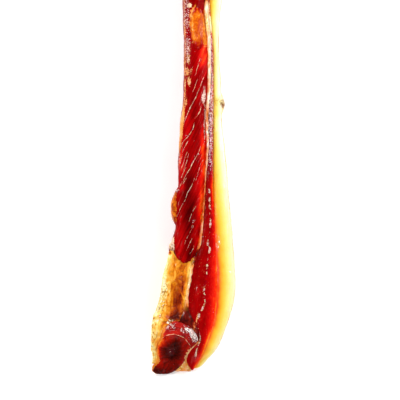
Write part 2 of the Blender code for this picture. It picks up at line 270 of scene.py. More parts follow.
def lowFade(z):     # keeps swellings off the floor
    return 0.3 + 0.7 * np.clip(z / 9.0, 0, 1)


def commonSwell(x, s):      # the slow rise and fall that all the layers share
    return 0.75 * swirl(s / 17, x / 12) + 0.3 * swirl(s / 7, x / 6, 3.1)


def wavyBorder(grid, at, side):     # bends the end of a piece at s = at; side is -1 for its lower end
    near = 1 - ramp(side * (at - grid.s), 0, 14)
    waves = 2.4 * swirl(grid.z / 9, grid.x / 14, 7) + 1.1 * rough(grid.z / 4, grid.x / 2.4, 3, 2)
    return near * waves * ramp(grid.z, 0, 4) * (1 - ramp(grid.x, 0, 4))


def retreat(x, z):      # how far the pad's upper left corner reaches past the plain border
    return 8 * ramp(-x, 13.5, 18) * ramp(z, 20, 31)


def reachOver(grid, ownTop, nextTop):       # how a top moves on its right half to meet the next piece's top
    return (nextTop - ownTop) * np.clip(grid.across, 0, 1) ** 2


def outwards(grid):     # unit normals of the rings' surface
    p = np.stack([grid.x, grid.s, grid.z], axis=-1)
    around = np.roll(p, -1, axis=1) - np.roll(p, 1, axis=1)
    n = np.cross(np.gradient(p, axis=0), around)
    n /= np.linalg.norm(n, axis=-1, keepdims=True) + 1e-9
    return n if (n * (p - p.mean(axis=1, keepdims=True))).sum() > 0 else -n


def pushOut(grid, amount):      # moves the surface along its normals; the underside stays flat
    n = outwards(grid)
    amount = amount * ramp(grid.z, 0, 2)
    for k, name in enumerate(("x", "s", "z")):
        setattr(grid, name, getattr(grid, name) + n[..., k] * amount)


# Meshes

margin = strip["margin"] / 1000
lowest, highest = np.array(cadBox[0], float) + margin, np.array(cadBox[1], float) - margin


def addPiece(name, data):
    piece = bpy.data.objects.new(name, data)
    bpy.context.scene.collection.objects.link(piece)
    return piece


def readPoints(mesh):
    points = np.empty(len(mesh.vertices) * 3)
    mesh.vertices.foreach_get("co", points)
    return points.reshape(-1, 3)


def setMark(mesh, name, values):
    mesh.attributes.new(name, "FLOAT", "POINT").data.foreach_set("value", values.astype(np.float32))


def signedVolume(mesh):
    mesh.calc_loop_triangles()
    corners = np.empty(len(mesh.loop_triangles) * 3, int)
    mesh.loop_triangles.foreach_get("vertices", corners)
    a, b, c = readPoints(mesh)[corners.reshape(-1, 3)].transpose(1, 0, 2)
    return np.einsum("ij,ij->", a, np.cross(b, c)) / 6


def meshPiece(name, grid, marks, material, grain):      # a closed mesh with its marks and grain map
    rows, columns = grid.x.shape
    points = np.stack([grid.x - strip["middleX"], grid.s - strip["length"] / 2, grid.z], axis=-1) / 1000
    points = np.clip(points, lowest, highest)
    points = np.concatenate([points.reshape(-1, 3), points[[0, -1]].mean(axis=1)])
    ring = np.arange(columns)
    after = (ring + 1) % columns
    row = np.arange(rows - 1)[:, None] * columns
    beyond = row + columns
    quads = np.stack([row + ring, row + after, beyond + after, beyond + ring], -1).reshape(-1, 4)
    first = np.stack([np.full(columns, rows * columns), after, ring], -1)
    last = np.stack([np.full(columns, rows * columns + 1), ring + beyond[-1], after + beyond[-1]], -1)
    mesh = bpy.data.meshes.new(name)
    mesh.from_pydata(points.tolist(), [], quads.tolist() + first.tolist() + last.tolist())
    if signedVolume(mesh) < 0:
        mesh.flip_normals()
    for markName, values in marks.items():
        values = np.clip(values, -1, 2)
        setMark(mesh, markName, np.concatenate([values.ravel(), values[[0, -1]].mean(axis=1)]))
    if grain:
        flat = np.stack(grain, -1)
        flat = np.concatenate([flat.reshape(-1, 2), flat[[0, -1]].mean(axis=1)]) / 10
        corner = np.empty(len(mesh.loops), int)
        mesh.loops.foreach_get("vertex_index", corner)
        mesh.uv_layers.new(name="grain").data.foreach_set("uv", flat[corner].ravel().astype(np.float32))
    mesh.materials.append(material)
    mesh.shade_smooth()
    return addPiece(name, mesh)


def dress(layer, grid, marks, grain=None):
    name, node, slotName, materialName = layer["names"]
    material = meatMaterial(materialName, layer["look"])
    return handOver(meshPiece(name, grid, marks, material, grain), node)


def handOver(piece, node=None):
    if node:
        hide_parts(node)
    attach(piece, "root")
    print("cured pork belly:", piece.name, len(piece.data.polygons))
    return piece


# Materials

def colour(code):       # a hex colour as linear light
    parts = [int(code[k:k + 2], 16) / 255 for k in (0, 2, 4)]
    return tuple(p / 12.92 if p <= 0.04045 else ((p + 0.055) / 1.055) ** 2.4 for p in parts) + (1.0,)


def addNode(tree, kind, inputs=(), **settings):     # an input is a value, a socket or a node's first output
    node = tree.nodes.new(kind)
    for name, value in settings.items():
        setattr(node, name, value)
    for name, value in dict(inputs).items():
        if isinstance(value, bpy.types.Node):
            value = value.outputs[0]
        if isinstance(value, bpy.types.NodeSocket):
            tree.links.new(value, node.inputs[name])
        else:
            node.inputs[name].default_value = value
    return node


def compute(tree, operation, *values, clamp=False):
    return addNode(tree, "ShaderNodeMath", dict(enumerate(values)), operation=operation, use_clamp=clamp)


def meatMaterial(name, look):
    material = bpy.data.materials.new(name)
    material.use_nodes = True
    tree = material.node_tree
    shader = tree.nodes["Principled BSDF"]
    place = addNode(tree, "ShaderNodeTexCoord").outputs["Object"]

    def mark(markName):
        return addNode(tree, "ShaderNodeAttribute", attribute_name=markName).outputs["Fac"]

    def noise(scale, detail=3.0, vector=place, **more):
        inputs = {"Vector": vector, "Scale": scale, "Detail": detail, **more}
        return addNode(tree, "ShaderNodeTexNoise", inputs)

    def add(a, b, factor=1.0):      # a + b * factor
        return compute(tree, "MULTIPLY_ADD", b, factor, a)

    def centred(value, amount):     # (value - 0.5) * amount
        return compute(tree, "MULTIPLY_ADD", value, amount, -0.5 * amount)

    def gate(value, low, high):     # 0 to 1 between two limits
        return addNode(tree, "ShaderNodeMapRange", {"Value": value, "From Min": low, "From Max": high},
                       interpolation_type="SMOOTHSTEP")

    def rampColours(value, stops):
        node = addNode(tree, "ShaderNodeValToRGB", {"Fac": value})
        elements = node.color_ramp.elements
        while len(elements) < len(stops):
            elements.new(0.5)
        for element, (at, code) in zip(elements, stops):
            element.position = at
            element.color = colour(code)
        return node.outputs[0]

    def mixIn(share, a, b, mode="MIX"):
        mix = addNode(tree, "ShaderNodeMix", {0: share, 6: a, 7: b}, data_type="RGBA", blend_type=mode)
        return mix.outputs[2]

    mottle, fine = noise(look["mottleScale"], 4.0), noise(look["fineScale"])
    tone = add(add(mark("tone"), centred(mottle, look["mottle"])), centred(fine, look["fine"]))
    height = add(centred(mottle, look["mottleBump"]), centred(fine, look["fineBump"]))
    if "grain" in look:
        lie = addNode(tree, "ShaderNodeUVMap", uv_map="grain")
        drawn = addNode(tree, "ShaderNodeMapping", {"Vector": lie, "Scale": look["grainScale"]})
        fibre = noise(1.0, 4.0, drawn, Roughness=0.65)
        tone = add(tone, centred(fibre, look["grain"]))
        height = add(height, centred(fibre, look["grainBump"]))
    body = rampColours(tone, look["stops"])
    if "fat" in look:     # marbling and fatty rims, and on the lean painted highlights drawn in pale fat colour
        share = gate(add(mark("fat"), centred(noise(look["fatScale"]), look["fatBreak"])), 0.42, 0.58)
        body = mixIn(share, body, rampColours(add(mark("fatTone"), centred(mottle, 0.6)), look["fat"]))
    if "filmAndSheen" in look:    # a thin film, mostly a painted sheen, with painted glints as pale flecks where it is thick
        cover = mark("filmAndSheen")
        share = compute(tree, "MULTIPLY", cover, look["filmAndSheenShare"], clamp=True)
        body = mixIn(share, body, colour(look["filmAndSheen"]))
        glintFlecks = gate(add(noise(look["glintFleckScale"], Roughness=0.62), cover, 0.32), 0.73, 0.79)
        body = mixIn(glintFlecks, body, colour(look["glintFleck"]))
        height = add(height, glintFlecks, look["glintFleckBump"])
    # darkening: specks, stains and pits, and painted shade in the lean's grooves and the rind's wrinkles
    if "deep" in look:
        body = mixIn(mark("deep"), body, colour(look["deep"]), "MULTIPLY")
    roughness = add(centred(mottle, look["roughSpread"]), mark("dull"), 0.35)
    roughness = compute(tree, "ADD", roughness, look["roughness"], clamp=True)
    bump = addNode(tree, "ShaderNodeBump", {"Height": height, "Strength": look["bump"], "Distance": 0.001})
    tree.links.new(body, shader.inputs["Base Color"])
    tree.links.new(roughness.outputs[0], shader.inputs["Roughness"])
    tree.links.new(bump.outputs[0], shader.inputs["Normal"])
    shader.inputs["Subsurface Weight"].default_value = look["glow"]
    shader.inputs["Subsurface Radius"].default_value = look["glowReach"]
    shader.inputs["Subsurface Scale"].default_value = 0.004
    shader.inputs["Specular IOR Level"].default_value = look["shine"]
    shader.inputs["Coat Weight"].default_value = look["oil"]
    shader.inputs["Coat Roughness"].default_value = look["oilRough"]
    return material


leanLook = {
    "stops": [(0.0, "260001"), (0.2, "560001"), (0.42, "8e0203"), (0.6, "b60507"), (0.78, "de1c0c"),
              (0.9, "f2480f"), (1.0, "fb8a20")],
    "mottle": 0.20, "mottleScale": 170, "mottleBump": 0.10, "fine": 0.10, "fineScale": 900, "fineBump": 0.06,
    "grain": 0.22, "grainScale": (7.0, 0.55, 1.0), "grainBump": 0.10,
    "fat": [(0.0, "9c3206"), (0.3, "de7818"), (0.6, "f3b06c"), (1.0, "fbe0c0")],
    "filmAndSheenShare": 0.9, "glintFleckBump": 0.35, "deep": "7a2418",
    "roughness": 0.24, "roughSpread": 0.14, "bump": 0.5,
    "glow": 0.12, "glowReach": (1.0, 0.08, 0.04), "shine": 0.012, "oil": 0.085, "oilRough": 0.05,
}
fatLook = {
    "mottleBump": 0.16, "fine": 0.05, "fineScale": 700, "fineBump": 0.08,
    "roughness": 0.22, "roughSpread": 0.14, "bump": 0.4,
    "glow": 0.5, "glowReach": (1.0, 0.62, 0.22), "shine": 0.2, "oil": 0.2, "oilRough": 0.1,
}
print("cured pork belly: tools ready")


# Back fat with its rind

backFat = {
    # names of the piece, its node, its slot and its material
    "names": ("back_fat_with_rind", "back_fat", "golden_fat", "goldenBackFat"),
    "left": fatInside, "right": rind, "top": fatTop,
    "grown": (1, 0),        # whether it overlaps its neighbour on the left and on the right
    "edges": (0.05, 4.5),   # rounding of the upper edges
    "ends": (5.6, 378.0), "endRound": 3.0, "roundRings": 7, "capRings": 24, "step": 0.85,
    "thin": (0.4, 0, 1),    # greatest share of the width lost at the ends, then the part of it on each side
    "points": (30, 10, 34, 8),      # up a flank, round an upper edge, across the top and the underside
    "wave": 0.5, "dimple": 0.16, "rindWave": 0.8, "wrinkle": 0.35, "pore": 0.16,
    "nickAt": 244.0, "nickHalf": 12.0, "nickOut": 2.9,
    "nickTop": (25.4, 244.0, 2.8, 11.0), "yellowSpot": (22.5, 236.5, 4.2, 7.5),     # x, s, half sizes
    "wholeRange": 17.0,     # mm from the reddest fat to the palest
    "paler": smoothLine((5, 0.1), (115, 0), (157, 1.7), (193, 3.8), (225, 6.2), (283, 7.6), (316, 6.4),
                        (334, 2.6), (352, 4.4), (378, 5.4)),
    "spread": smoothLine((5, 2.2), (18, 1.5), (30, 1.2), (50, 0.98), (115, 0.95), (157, 1.05), (193, 1.3),
                         (225, 1.75), (378, 1.4)),
    "look": {
        **fatLook, "mottle": 0.10, "mottleScale": 120, "roughness": 0.33, "shine": 0.25, "deep": "8a5a2a",
        "stops": [(0.0, "f0400a"), (0.05, "f2660c"), (0.12, "f4901a"), (0.25, "f4b630"), (0.41, "f0cb52"),
                  (0.57, "f3de80"), (0.72, "f5e8a8"), (0.88, "f6efcf"), (1.0, "fcf7ea")],
        "fat": [(0.0, "8a4510"), (0.3, "b8701e"), (0.55, "d89438"), (0.8, "eab860"), (1.0, "f2d69a")],
        "fatScale": 500, "fatBreak": 0.35,
    },
}


def makeBackFat():
    grid = uprightLayer(backFat)
    x, s, z = grid.x, grid.s, grid.z
    nick = backFat["nickOut"] * swell(s, backFat["nickAt"], backFat["nickHalf"]) * swell(z, 22, 14)
    outer = np.clip(grid.across, 0, 1) ** 4
    grid.x = x + outer * (nick + backFat["wave"] * swirl(s / 17, z / 10, 8)) * lowFade(z)
    grid.z = z + grid.up * (commonSwell(x, s) + 0.5 * (1 - grid.across ** 2))
    inward = x - grid.left      # mm from the lean
    skin = ramp(grid.rightward, 0.7, 0.98) * ramp(grid.size, 0.68, 0.76)        # where the rind shows
    wrinkle = rough(s / 2.6, z / 9, 2) * 0.5 + np.abs(swirl(s / 5, z / 3, 6)) * 0.5
    pores = rough(s / 1.1, z / 1.1, 12, 2)
    pit = swell(s, backFat["nickAt"] + 2, 7) * swell(z, 26, 9)
    relief = backFat["dimple"] * rough(x / 3, s / 5, z / 4) * ramp(inward, 0, 1.5)
    relief += skin * (backFat["wrinkle"] * wrinkle - backFat["pore"] * ramp(pores, 0.25, 0.5))
    relief += grid.rightward * backFat["rindWave"] * swirl(s / 26, z / 15, 5) * lowFade(z)
    relief += grid.rightward * 0.9 * pit * rough(s / 2.2, z / 2.2, 9)
    pushOut(grid, relief)
    waves = 0.7 * swirl(s / 5, x / 6, 3) * swell(s, 70, 62) ** 0.5 * ramp(6 - inward, 0, 4)
    depth = backFat["paler"](s) + backFat["spread"](s) * (inward + waves)
    depth -= swell(s, 85, 65) ** 0.5 * ramp(inward, 0, 1) * (1 - ramp(inward, 3, 9))
    tone = depth / backFat["wholeRange"] + 0.035 * rough(s / 12, x / 5, 4) - 0.04 * grid.rightward
    tone += 0.05 * grid.cap * rough(x / 2, z / 4, 5)
    tone -= 0.2 * spot(x, s, *backFat["yellowSpot"]) + 0.35 * pit
    rindTone = 0.4 + 0.5 * rough(s / 22, z / 11, 1) + 0.25 * rough(s / 6, z / 4, 3)
    rindTone += 0.12 * (wrinkle < -0.1)
    rindTone += 0.8 * (1 - ramp(fatTop(s) - z, 2, 7)) * (1 - grid.cap) - 0.3 * grid.cap
    nickSpecks = ramp(spot(x, s, *backFat["nickTop"]) + 0.7 * rough(x / 0.9, s / 1.3, 15, 2), 0.75, 0.95)
    pitSpecks = pit * ramp(rough(x / 1.2, s / 1.4, 3, 2), 0, 0.2)
    marks = {
        "tone": tone, "fat": skin * (1 - pit), "fatTone": rindTone, "dull": 0.3 * skin,
        # painted shade in the troughs of the rind's wrinkles; the pores are darker too
        "deep": 0.8 * pitSpecks + skin * (0.2 * (wrinkle < -0.2) + 0.5 * (pores > 0.38)) + 0.6 * nickSpecks,
    }
    dress(backFat, grid, marks)


# Outer lean, the narrow streak beside the back fat

outerLean = {
    "names": ("outer_lean_streak", "outer_lean", "outer_red", "outerLeanRed"),
    "left": leanInside, "right": fatInside, "top": outerTop, "grown": (1, 1), "edges": (0.15, 0.05),
    "ends": (3.8, 376.0), "endRound": 1.6, "thin": (0.3, 1, 1), "roundRings": 5, "capRings": 8, "step": 0.75,
    "points": (8, 5, 44, 6),
    "bundle": 0.16, "fibre": 0.06, "ridge": 0.5, "beads": 0.35,
    "slant": 0.10,          # of the fibres: mm across for each mm along
    "ridgeLine": smoothLine(
        (9, 0.3), (15, 2.3), (22, 3.7), (34, 6.9), (45, 5), (53.5, 5.5), (60, 9.1), (67, 11.2), (77, 10.6),
        (93, 13.3), (98, 13.2), (114, 15), (118.5, 13.8), (137, 16.1), (152, 15.7), (165, 15), (200, 16.8),
        (378, 17)),
    "glints": [     # painted glints along the ridge: middle, half length, strength
        (165.5, 3.4, 1), (158, 3.8, 1), (152, 3.4, 0.9), (137, 6.5, 1), (118.5, 2.6, 1), (113, 4.6, 1.1),
        (98.5, 2.6, 1), (93, 4.5, 0.7), (77, 2.6, 1), (73, 2.2, 0.9), (66.5, 4.5, 0.75), (60, 3.4, 1.15),
        (53.5, 3.8, 1.15), (45, 4, 0.5), (33, 8, 1), (20, 8, 0.95),
    ],
    "fattyFrom": 302.0,     # past this the streak is nearly all fat
    "vein": smoothLine((41, 2.6), (56, 4.6)),       # a tan vein that comes out of the seam
    "look": {
        **leanLook, "filmAndSheen": "6a1040", "filmAndSheenShare": 0.75, "glintFleck": "f0c2d2", "glintFleckScale": 760,
        "grain": 0.18, "oil": 0.06, "mottle": 0.28, "fine": 0.2, "fatBreak": 2.2, "fatScale": 1050,
        "fat": [(0.0, "b8460a"), (0.3, "dd8a56"), (0.6, "f6dc98"), (0.76, "fdf3cc"), (0.88, "efb0ae"),
                (1.0, "f9e0dc")],
    },
}


def makeOuterLean():
    grid = uprightLayer(outerLean)
    x, s = grid.x, grid.s
    reach = reachOver(grid, outerTop(s), fatTop(s))
    grid.z = grid.z + grid.up * (commonSwell(x, s) + 0.9 * (1 - grid.across ** 2) + reach)
    fibre = grid.wrap - outerLean["slant"] * s
    bundle = swirl(fibre / 3.6, s / 50, 1)
    narrow = ramp(s + 4 * np.clip(x - 15, 0, 3), 178, 197)      # the upper part, with a painted mauve sheen
    ridge = swell(x, outerLean["ridgeLine"](s) + 0.5 * swirl(s / 6, 3.3), 1.5)
    broken = rough(x / 1.2, s / 1.9, 7, 2)
    relief = outerLean["bundle"] * bundle + outerLean["fibre"] * swirl(fibre / 1.1, s / 22, 2)
    relief += outerLean["ridge"] * ridge * (0.15 + 1.1 * broken) * (1 - 0.5 * narrow)
    relief += outerLean["beads"] * narrow * rough(x / 1, s / 1.5, 4, 2)
    toFat = grid.right - x
    pushOut(grid, relief * np.clip(grid.up + 0.3, 0, 1) * ramp(toFat, 0, 1.5))
    cap = cutEnds(grid)
    share = (x - grid.left) / (grid.right - grid.left)
    # the tone rises towards the fat: a painted glow of light through the fat
    glowNearFat = fade(toFat, 0.9 + 1.1 * swell(s, 70, 55) ** 0.5)
    tone = 0.42 + 0.07 * bundle + 0.35 * ramp(share, 0.5, 1) * (1 - 0.5 * narrow)
    tone += 0.14 * glowNearFat * (1 - 0.4 * narrow) + 0.24 * swell(s, 168, 28) * ramp(share, 0.45, 0.9)
    tone += 0.12 * swell(s, 257, 20) * narrow - 0.07 * ramp(s, 95, 120) * ramp(share, 0.4, 0.9)
    tone += 0.08 * swell(s, 172, 14) + 0.1 * swell(s, 32, 10) + 0.05 * ramp(60 - s, -10, 40)
    tone += 0.05 * broken + 0.4 * narrow * fade(toFat, 1.1)
    tone = blend(tone, 0.42 + 0.14 * rough(x / 2, grid.z / 3, 3), cap)
    fatty = ramp(s, outerLean["fattyFrom"], outerLean["fattyFrom"] + 9) * (1 - swell(s, 342, 9) ** 0.5)
    fatty = fatty * (1 - swell(x, 15.8, 1.1) * swell(s, 328, 8))
    mauve = narrow * (1 - fatty)
    cloudy = 0.55 + 0.35 * ramp(rough(x / 2, s / 6, 3), -0.3, 0.3)
    # painted sheen: a mauve cover over the upper part, and more of it on the left side near the top
    filmAndSheen = mauve * cloudy * (1 - 0.5 * ramp(share, 0.4, 0.9))
    filmAndSheen += 0.45 * swell(share, 0.05, 0.4) * swell(s, 285, 48) * (1 - fatty)
    # painted highlight: a broken chain of glints along the ridge, drawn as pale pink fat colour with cover
    # and glint flecks
    shine = 0.8 * sum(much * swell(s, middle, half) ** 0.5 for middle, half, much in outerLean["glints"])
    steady = swell(s, 99, 82) ** 0.4 * ramp(rough(s / 3.4, 1.1), -0.25, 0.2)
    chain = swell(x, outerLean["ridgeLine"](s) + 0.6 * swirl(s / 4, 3.3), 1.7)
    glint = ramp(chain * np.maximum(shine, 0.55 * steady) + 0.35 * broken, 0.1, 0.95) * (1 - 0.4 * narrow)
    filmAndSheen = filmAndSheen * ramp(toFat, 0.1, 1.5) + 0.55 * glint
    glintSpecks = mauve * swell(s, 246, 44) ** 0.5 * ramp(rough(x / 0.8, s / 1.2, 5, 2), -0.2, 0.15)
    glint = np.maximum(glint, 0.88 * glintSpecks)
    rightRim = 0.8 * mauve * fade(toFat, 1.5)
    vein = swell(x, outerLean["vein"](s) + 0.4 * broken, 1.2) * swell(s, 48.5, 11) ** 0.5
    marks = {
        "tone": tone, "filmAndSheen": filmAndSheen * grid.up, "dull": 0.1 * narrow,
        "fatTone": 0.36 + 0.32 * fatty + 0.6 * glint,
        "fat": np.maximum.reduce([
            1.2 * fatty - 0.3, rightRim * (1 - cap), 0.55 * vein, 0.8 * glint * grid.up]),
    }
    return dress(outerLean, grid, marks, (fibre, s))


# Seam of fat between the lean layers

seamFat = {
    "names": ("seam_of_fat", "seam_fat", "seam_cream", "seamCream"),
    "left": seamInside, "right": leanInside, "top": seamTop, "grown": (1, 1), "edges": (0.12, 0.12),
    "ends": (2.6, 377.2), "endRound": 1.2, "thin": (0.3, 1, 1), "roundRings": 5, "capRings": 8, "step": 0.7,
    "points": (8, 6, 20, 6),
    "lump": 0.4, "ridge": 0.6,
    "paleness": smoothLine(
        (0, 0.42), (10, 0.5), (14, 0.58), (26, 0.56), (31, 0.16), (44, 0.03), (57, 0.05), (64, 0.34),
        (70, 0.68), (84, 0.78), (95, 0.74), (100, 0.26), (103, 0.12), (111, 0.12), (116, 0.54), (134, 0.58),
        (142, 0.4), (170, 0.32), (178, 0.6), (192, 0.66), (212, 0.8), (222, 0.74), (230, 0.5), (238, 0.5),
        (243, 0.88), (248, 0.92), (256, 0.8), (280, 0.82), (300, 0.84), (312, 0.8), (322, 0.84), (330, 0.95),
        (335, 0.6), (339, 0.1), (346, 0.16), (356, 0.6), (378, 0.8)),
    "look": {
        **fatLook, "mottle": 0.34, "mottleScale": 260, "fine": 0.16, "bump": 0.5,
        "stops": [(0.0, "4a0804"), (0.2, "8a1a0c"), (0.4, "dc7830"), (0.58, "f0a070"), (0.78, "f8c09a"),
                  (1.0, "fdecda")],
        "filmAndSheen": "f0a434", "filmAndSheenShare": 0.88, "glintFleck": "fcdc98", "glintFleckScale": 500, "glintFleckBump": 0.2,
        "glowReach": (1.0, 0.4, 0.2), "oil": 0.3,
    },
}


def makeSeamFat():
    grid = uprightLayer(seamFat)
    x, s = grid.x, grid.s
    grid.z = grid.z + grid.up * (commonSwell(x, s) + seamFat["ridge"] * (1 - grid.across ** 2))
    lumps = rough(x / 2, s / 4.2, 2.5 + grid.cap * grid.z / 5)
    pushOut(grid, seamFat["lump"] * lumps * grid.up)
    cutEnds(grid)
    a = grid.across
    dark = swell(s, 46, 17) ** 0.5
    fine = rough(x / 1.1, s / 1.6, 7.5)
    # glare: a painted highlight, paler on the seam's left side
    glare = swell(a, -0.7, 0.8) * swell(s, 222, 26) ** 0.5
    besidePad = swell(s, 81, 24) ** 0.5
    tone = seamFat["paleness"](s) + 0.38 * lumps * (1 - 0.45 * dark) + 0.12 * fine
    tone += 0.34 * spot(x, s, 2.2, 44, 2.2, 7.5) * ramp(fine, -0.3, 0.3) + 0.3 * glare * ramp(fine, -0.1, 0.2)
    tone -= 0.22 * swell(a, -0.9, 0.7) * ramp(s, 110, 125) + 0.34 * swell(a, -0.9, 1.1) * swell(s, 290, 9)
    tone += 0.16 * dark * rough(x / 1.1, s / 9, 4) + 0.22 * besidePad * rough(x / 1.6, s / 3, 9)
    yellow = np.maximum.reduce([
        swell(s, 316, 13) ** 0.6 * ramp(-a, -1.5, 0.4), besidePad * ramp(-a - 0.9 * lumps, -1.2, 0.6),
        0.5 * swell(s, 7, 16)])
    dress(seamFat, grid, {"tone": tone, "filmAndSheen": yellow})


# Rolled end: its slanted face lies inside an oval, the shoulder outside it

rolledEnd = {
    "names": ("rolled_end_of_lean", "rolled_end", "roll_red", "rolledEndDark"),
    "left": rollLeft, "right": seamInside, "top": rollTop, "grown": (1, 1), "edges": (1.4, 1.8),
    "ends": (0.0, 48.6), "endRound": 1.5, "thin": (0.4, 1, 1), "roundRings": 6, "capRings": 10, "step": 0.42,
    "points": (30, 12, 70, 10),
    "faceAt": (-17.5, 17.0), "faceHalf": (18.0, 20.5),
    "dish": 2.2, "rim": 0.75, "rimGroove": 0.5, "rays": 0.5, "shoulderFold": 0.45,
    "leftRim": smoothLine((3, 0.6), (9, 4.2), (13, 2.6), (18, 0.3), (23, 0.6), (29, 0.9), (37, 3.4),
                          (43, 2.2), (48, 0.8)),
    "look": {
        **leanLook, "fatScale": 700, "fatBreak": 0.5, "grainScale": (4.0, 0.8, 1.0), "grain": 0.26,
        "stops": [(0.0, "240403"), (0.2, "580d06"), (0.42, "8c0e06"), (0.6, "b41608"), (0.78, "de340d"),
                  (0.9, "f0600f"), (1.0, "fb9a30")],
        "filmAndSheen": "8c3440", "filmAndSheenShare": 0.6, "glintFleck": "fdf4f0", "glintFleckScale": 1100, "glintFleckBump": 0.6,
        "deep": "4a1410", "oil": 0.1, "roughness": 0.22,
    },
}


def makeRolledEnd():
    grid = uprightLayer(rolledEnd)
    x, s = grid.x, grid.s
    down = (grid.top - grid.z) / 5.0
    dish = rolledEnd["dish"] * swell(s, 18, 22) * swell(grid.across, 0.05, 0.95)
    grid.z = grid.z + grid.up * (0.5 * commonSwell(x, s) + 1.4 * (1 - grid.across ** 2) - dish)
    (x0, s0), (a, b) = rolledEnd["faceAt"], rolledEnd["faceHalf"]
    out = np.hypot((x - x0) / a, (s - s0) / b) + 0.03 * rough(x / 6, s / 6, 2)
    angle = np.arctan2((s - s0) / b, (x - x0) / a) + 0.45 * rough(x / 8, s / 8, 4)
    face = 1 - ramp(out, 0.93, 1)
    shoulder = (1 - face) * ramp(s, 24, 34)
    rays = 0.65 * swirl(np.cos(angle) * 7, np.sin(angle) * 7, out * 1.6 + down)
    rays += 0.5 * rough(x / 3.4, s / 3.4, 6 + down)
    finer = 0.7 * swirl(np.cos(angle) * 18, np.sin(angle) * 18, out * 2.4 + 2 * down)
    finer += 0.4 * rough(x / 1.3, s / 1.3, 2 + down)
    folds = swirl(angle * 3, out * 13, 5 + down)
    relief = rolledEnd["rays"] * face * (0.5 * rays + 0.35 * finer) * ramp(out, 0.12, 0.5)
    relief += rolledEnd["rim"] * swell(out, 0.99, 0.07) * ramp(s, 14, 24)
    relief -= rolledEnd["rimGroove"] * swell(out, 0.89, 0.09) * ramp(s, 14, 24)
    relief += rolledEnd["shoulderFold"] * (1 - face) * folds + 0.3 * rough(x / 3, s / 3, 1)
    pushOut(grid, relief * (0.25 + 0.75 * ramp(grid.up, 0, 0.6)))
    tip = ramp(13 - s, 0, 10)
    core = 1 - ramp(np.hypot((x + 16.8) / 13, (s - 22) / 12), 0.35, 1.25)
    ring = swell(out, 0.84, 0.3) * (1 - tip) * (1 - 0.6 * core)
    fromLeft, fromRight = x - grid.left, grid.right - x
    tone = 0.42 - 0.32 * core + 0.26 * spot(x, s, -25, 29, 9, 7) - 0.18 * tip
    tone += face * (0.17 * rays + 0.2 * finer + 0.1 * rough(x / 1.5, s / 1.5, 9))
    tone += 0.16 * ramp(x, -15, -8) * face * (1 - 0.5 * tip) - 0.08 * tip * ramp(-x, 26, 32)
    tone += ring * (0.22 * ramp(-x, 10, 22) + 0.16 * (1 - ramp(s, 19, 27)) - 0.06)
    tone += 0.32 * (1 - ramp(fromLeft, 0.5, 4.5)) * ramp(s, 12, 20) + shoulder * (0.1 + 0.22 * folds)
    rightRim = swell(fromRight, 0.5, 2.2) * swell(s, 20, 13) * (0.5 + 1.3 * finer)
    rimWidth = rolledEnd["leftRim"](s) * (1 + 0.5 * swirl(s / 2.2, x / 3, 2) + 0.5 * finer)
    leftRim = 1 - ramp(fromLeft, 0.45 * rimWidth, rimWidth + 0.3)
    arc = swell(out, 0.985, 0.032) * ramp(s, 22, 29) * ramp(x, -30, -24)
    arc *= 0.85 + 0.4 * swirl(angle * 7, 1)
    # painted highlights: the flare on the shoulder's right, the crown spots and the sparkles in the face's
    # middle, with dark pits among the flare and crown; the shoulder's thin cover is its fascia with a painted
    # sheen
    flare = shoulder * ramp(swell(fromRight, 2.2, 5) * swell(s, 36, 9.5), 0.1, 0.5)
    crown = shoulder * np.maximum(0.75 * spot(x, s, -20, 44.5, 8, 6.5), 1.2 * spot(x, s, -6.8, 41, 6, 5.6))
    pits = ramp(rough(x / 0.85, s / 0.85, 3, 2), 0, 0.2) * ramp(np.maximum(flare, crown), 0.05, 0.5)
    filmAndSheen = 0.2 * shoulder + 0.78 * flare * (1 + 0.7 * rough(x / 1.6, s / 1.4, 8, 2))
    filmAndSheen += 0.34 * face * spot(x, s, -20, 20.5, 5, 5)
    filmAndSheen += 0.8 * crown * ramp(rough(x / 3, s / 2.4, 6), -0.4, 0.3)
    marks = {
        "tone": tone, "filmAndSheen": filmAndSheen, "deep": 0.2 * core + 0.15 * tip + 0.95 * pits,
        "fat": 0.95 * np.maximum.reduce([rightRim, leftRim, 0.85 * arc]),
        "fatTone": 0.6 + 0.35 * arc - 0.34 * leftRim,
    }
    return dress(rolledEnd, grid, marks, (angle * 14, out * 20))


# Pad of fat on the rib side, with a hollow that runs down to the rolled end

def besideRoll(s):
    return s <= 48.8


